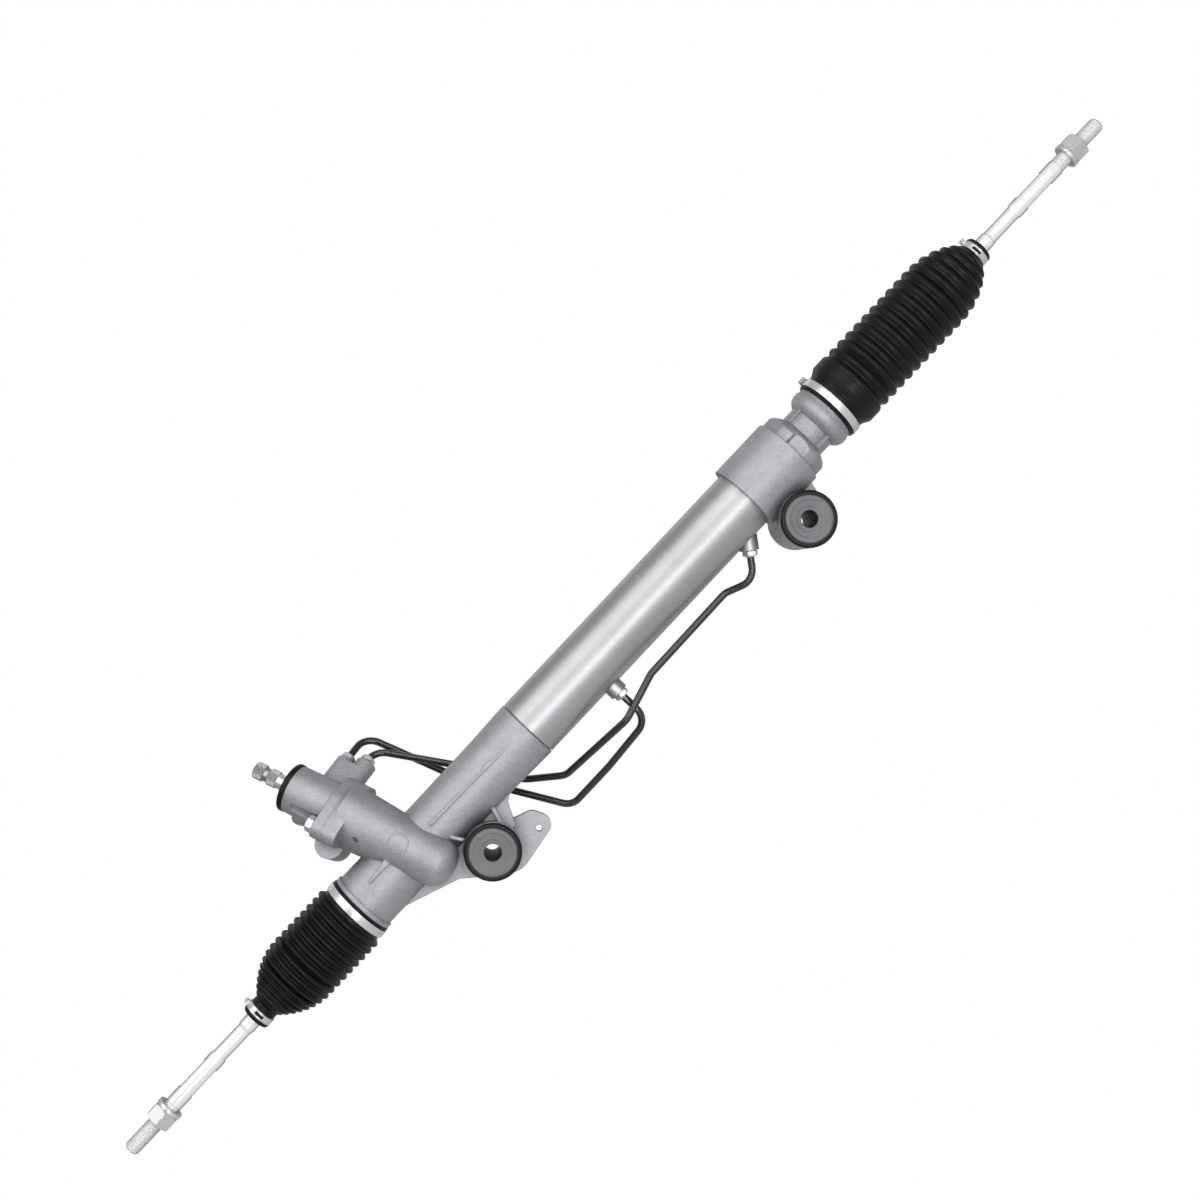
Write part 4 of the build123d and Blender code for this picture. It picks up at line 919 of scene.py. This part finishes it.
# %% [markdown]
# ## Hexagon nuts and bolt heads
#
# A real nut's corners are cut back by a cone, which leaves a curved scallop on each flat. Spinning a
# profile with a radius that follows the hexagon gives exactly that: where the cone lies outside the
# flat it has no effect, and near the corners it wins.

# %% Nut helper
NUT_SPOKES = 96
CORNER_SLOPE = math.tan(math.radians(30))
BORE_CHAMFER = 0.7


def hexagon(name, flat, bottom, top, bore, placed, both=True):
    """A zinc nut or bolt head with chamfered corners, along local Z."""
    half = flat / 2
    land = half - 0.3
    work = bmesh.new()
    angles = [math.tau * i / NUT_SPOKES for i in range(NUT_SPOKES)]
    reaches = [half / math.cos((angle + math.pi / 6) % (math.pi / 3) - math.pi / 6) for angle in angles]

    def ring(radii, heights):
        return [work.verts.new((r * math.cos(a), r * math.sin(a), z))
                for a, r, z in zip(angles, radii, heights)]

    def flat_ring(radius, height):
        return ring([radius] * NUT_SPOKES, [height] * NUT_SPOKES)

    cut = [(reach - land) * CORNER_SLOPE for reach in reaches]
    rings = [flat_ring(bore, bottom)] if bore else []
    rings.append(flat_ring(land, bottom))
    rings.append(ring(reaches, [bottom + (depth if both else 0) for depth in cut]))
    rings.append(ring(reaches, [top - depth for depth in cut]))
    rings.append(flat_ring(land, top))
    if bore:
        rings += [flat_ring(bore + BORE_CHAMFER, top), flat_ring(bore, top - BORE_CHAMFER)]
    skin(work, rings, bool(bore))
    if not bore:
        work.faces.new(list(reversed(rings[0])))
        work.faces.new(rings[-1])
    print(name, "corner radius", round(max(reaches), 2))
    return piece_from_work(name, work, placed, zinc, 22)


# %% Jam nuts
JAM_BORE = 7.05
for side, start in (("left", 188.5), ("right", 196.5)):
    _, ball, sign = SIDES[side]
    place = rack_frame(ball + sign * start, sign)
    nut = hexagon("jam_hexagon", 22.0, 4.0, 18.0, JAM_BORE, place)
    collar = tube_ring("jam_collar", 0, 4.2, JAM_BORE, 11.9, place, zinc, radius=0.6)
    jam = joined("jam_nut_" + side + "_shown", [nut, collar])
    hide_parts("jam_nut_" + side)
    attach(jam, "tie_rod_" + side)

# %% Flange bolts of the valve housing
FLANGE_TOP = 67.6 + 9.0
BOLT_CIRCLE = 29.0
for name, degrees in (("front", 139.0), ("rear", -20.0)):
    angle = math.radians(degrees)
    seat = Vector((BOLT_CIRCLE * math.cos(angle), BOLT_CIRCLE * math.sin(angle), FLANGE_TOP))
    place = PINION_FRAME @ Matrix.Translation(seat)
    head = hexagon("bolt_head", 13.0, 1.4, 7.5, 0, place, both=False)
    washer = spun("bolt_washer", [(0.02, 0), (0.02, 7.5), (1.5, 7.5, 0.5), (1.6, 6.4), (1.6, 0)], place, zinc,
                  spokes=64, closed=False)
    shank = spun("bolt_shank", [(-19.9, 0), (-19.9, 4.0, 0.6), (0.1, 4.0), (0.1, 0)], place, zinc, spokes=48,
                 closed=False)
    bolt = joined("flange_bolt_" + name, [head, washer, shank])
    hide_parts("valve_bolt_" + name)
    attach(bolt, "housing")

# %% Union nuts of the pipes
PORT_TURN = math.radians(-58.0)
PIPE_BORE = 3.25
UNION_RINGS = ([(-3.5, PIPE_BORE), (-3.5, 5.4), (0.6, 5.4, 0.2), (0.6, PIPE_BORE)],
               [(4.3, PIPE_BORE), (4.3, 4.7, 0.2), (5.5, 4.5, 0.4), (5.5, PIPE_BORE)])
pinion_spot, to_rack, across_rack, pinion_up = pinion_axes()
valve_out = to_rack * math.cos(PORT_TURN) + across_rack * math.sin(PORT_TURN)
unions = {}
for name, k, reach in (("valve_union_nut_upper", 94.2, 49.0), ("valve_union_nut_lower", 78.5, 56.0)):
    unions[name] = (pinion_spot + pinion_up * k + valve_out * reach, valve_out)
for name, x, turn in (("cylinder_union_nut_a", 172.8, 0.0), ("cylinder_union_nut_b", 345.0, 38.0)):
    out = Vector((-math.sin(math.radians(turn)), 0, -math.cos(math.radians(turn))))
    unions[name] = (Vector((x, 0, RACK_HEIGHT - 28.5)) + out * 8.0, out)
for name, (spot, out) in unions.items():
    place = frame_towards(spot, out.orthogonal().normalized(), out)
    nut = hexagon("union_hexagon", 12.0, 0.05, 4.6, PIPE_BORE, place)
    rings = [spun("union_ring", corners, place, zinc, spokes=48) for corners in UNION_RINGS]
    union = joined(name + "_shown", [nut, *rings])
    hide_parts(name)
    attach(union, "housing")
print("union nuts:", len(unions))

# %% [markdown]
# ## Splined input shaft
#
# The steering column clamps on the fine splines at the top of the shaft. They are small V teeth cut
# round the bar, with a groove across them that the clamp bolt passes through. One tree holds a turned
# zigzag whose number of teeth, depth and groove are inputs.

# %% Spline tree
TEETH = 36
spline = TurnedTree("splined_end", {
    "Outer Radius": 7.6, "Teeth": TEETH, "Tooth Depth": 0.75, "Groove At": 144.0, "Groove Width": 6.0,
    "Groove Depth": 1.4, "Chamfer": 1.2})
tooth_place = (spline.angle / math.tau * spline["Teeth"]).part()
tooth_cut = ((tooth_place - 0.5).size() * 2.4).least(1.0) * spline["Tooth Depth"]
beyond = ((spline.along - spline["Groove At"]).size() / (spline["Groove Width"] / 2)).most(0.0)
groove = (beyond.from_one().most(0.0) * 3.0).least(1.0) * spline["Groove Depth"]
start_cone = (spline["From"] + spline["Chamfer"] - spline.along).most(0.0)
tip_cone = (spline.along - spline["To"] + spline["Chamfer"]).most(0.0)
SPLINE = spline.finish((spline["Outer Radius"] - tooth_cut).least(spline["Outer Radius"] - groove)
                       - start_cone.most(tip_cone))
ends = {"From": 132.0, "To": 156.0}
splines = ridged("splines", SPLINE, machined, PINION_FRAME, 35, rings=70, spokes=TEETH * 6 + 1, **ends)
shaft = spun("shaft_core", [(57, 0), (57, 10.5), (102, 10.5), (102, 8.9), (124.3, 8.9, 1.0), (124.3, 6.6),
                            (133, 6.6), (133, 0)], PINION_FRAME, zinc, closed=False)
input_piece = joined("input_shaft_splined", [splines, shaft])
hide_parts("input_shaft")
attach(input_piece, "input")
print("splines:", len(input_piece.data.polygons), "faces")

# %% [markdown]
# ## Dust cap
#
# A black rubber cap is pushed over the mouth of the valve housing, with a rolled rim and a shallow
# cone up to the shaft.

# %% Dust cap
cap = spun("input_dust_cap", [
    (116.0, 20.2), (116.0, 22.0), (119.8, 22.2, 0.8), (121.4, 21.0, 0.8), (122.1, 17.0, 0.8),
    (122.3, 10.6, 0.5), (121.4, 9.5, 0.3), (120.6, 10.0, 0.3), (120.4, 20.0)],
    PINION_FRAME, rubber, spokes=112, radius=0.3)
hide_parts("dust_cap")
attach(cap, "housing")

# %% [markdown]
# ## Mount bushes
#
# Each mount eye holds a thick rubber bush with a steel sleeve through it. What shows from the front
# is the sleeve's disc: a dark grey steel face with a rolled rim, fine turned rings, a shallow step and
# the bolt hole. Black rubber stands out all round it.


# %% Bush discs
def eye_frame(x, z, y, toward):
    """Local Z runs along -Y (toward the viewer) or +Y."""
    return frame_towards((x, y, z), (1, 0, 0), (0, toward, 0))


FRONT_FACE, BACK_FACE = -29.5, 47.5
for side, x, z in (("left", 0.0, 0.0), ("right", 392.0, -2.0)):
    disc = spun("bush_face", [
        (0, 7.5, 0.1), (0, 21.2, 0.3), (1.5, 21.2, 0.7), (2.5, 20.2, 0.5), (2.5, 16.6, 0.2), (2.2, 16.2, 0.2),
        (2.2, 11.2, 0.2), (1.9, 10.8, 0.2), (1.9, 8.4, 0.2), (1.6, 7.5, 0.2)],
        eye_frame(x, z, FRONT_FACE, -1), bush_disc, spokes=144, radius=0.2)
    rear = spun("bush_back", [(0, 7.5), (0, 21.2), (2.5, 21.2, 0.7), (2.5, 7.5, 0.4)],
                eye_frame(x, z, BACK_FACE, 1), bush_disc, spokes=128)
    middle = eye_frame(x, z, 0, 1)
    tube = spun("bush_tube", [(-30.6, 7.5), (-30.6, 10.5), (48.0, 10.5), (48.0, 7.5)], middle, bush_disc)
    bush = joined("bush_sleeve_" + side, [disc, rear, tube])
    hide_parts("eye_sleeve_" + side)
    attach(bush, "housing")
    block = spun("bush_rubber_" + side, [
        (FRONT_FACE, 10.5, 0), (FRONT_FACE, 23.6, 0.5), (-28.0, 25.0, 1.0), (-26.6, 25.0, 0.8),
        (-25.0, 23.8, 0.4), (-24.9, 21.0), (42.9, 21.0), (43.0, 25.0, 0.8), (46.2, 25.0, 1.0),
        (BACK_FACE, 23.6, 0.5), (BACK_FACE, 10.5)], middle, rubber, spokes=128, radius=0.3)
    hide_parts("eye_rubber_" + side)
    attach(block, "housing")
print("bushes done")

# %% [markdown]
# ## Marks of the foundry
#
# The die leaves small marks on a casting, such as the round pad of an ejector pin, and a drill leaves a
# dimple. A mark has to lie on the curved wall, so its profile is wrapped: a point of the flat mark
# turns into an angle round the pinion axis and a height along it, and its own height is added to the
# wall's radius.


# %% Wrapped marks
def wall_radius(k):
    """Radius of the tower's tapering wall at a height on the pinion axis."""
    return 22.2 + (k + 17.0) / 70.0 * 5.1


def wrapped_mark(name, point, profile, finish, spokes):
    """A round mark on the tower: (distance from its centre, height above the wall) points."""
    local = PINION_FRAME.inverted() @ (Vector(point) * MM)
    turn, k = math.atan2(local.y, local.x), local.z
    work = bmesh.new()
    rings = []
    for reach, height in profile:
        ring = []
        for spoke in range(spokes if reach else 1):
            angle = math.tau * spoke / spokes
            level = k + reach * math.sin(angle)
            around = turn + reach * math.cos(angle) / wall_radius(level)
            far = wall_radius(level) + height
            ring.append(work.verts.new((far * math.cos(around), far * math.sin(around), level)))
        rings.append(ring)
    skin(work, rings)
    mark = piece_from_work(name, work, PINION_FRAME, finish, 35)
    print(name, "lies at height", round(k, 1))
    return mark


PAD_PROFILE = [(7.9, -0.5), (8.1, 0.2), (8.5, 0.42), (8.9, 0.2), (9.1, -0.5), (7.9, -0.5)]
DRILL_PROFILE = [(0, -0.8), (3.3, -0.8), (3.2, 0.1), (2.8, 0.45), (2.3, 0.4), (2.0, 0.02), (1.1, 0.0),
                 (0, 0.35)]
pad = wrapped_mark("ejector_pad", (-48.2, -35.2, 64.5), PAD_PROFILE, cast, 72)
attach(pad, "housing")
mark = wrapped_mark("drill_mark", (-73.8, -28.0, 92.9), DRILL_PROFILE, bush_disc, 48)
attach(mark, "housing")
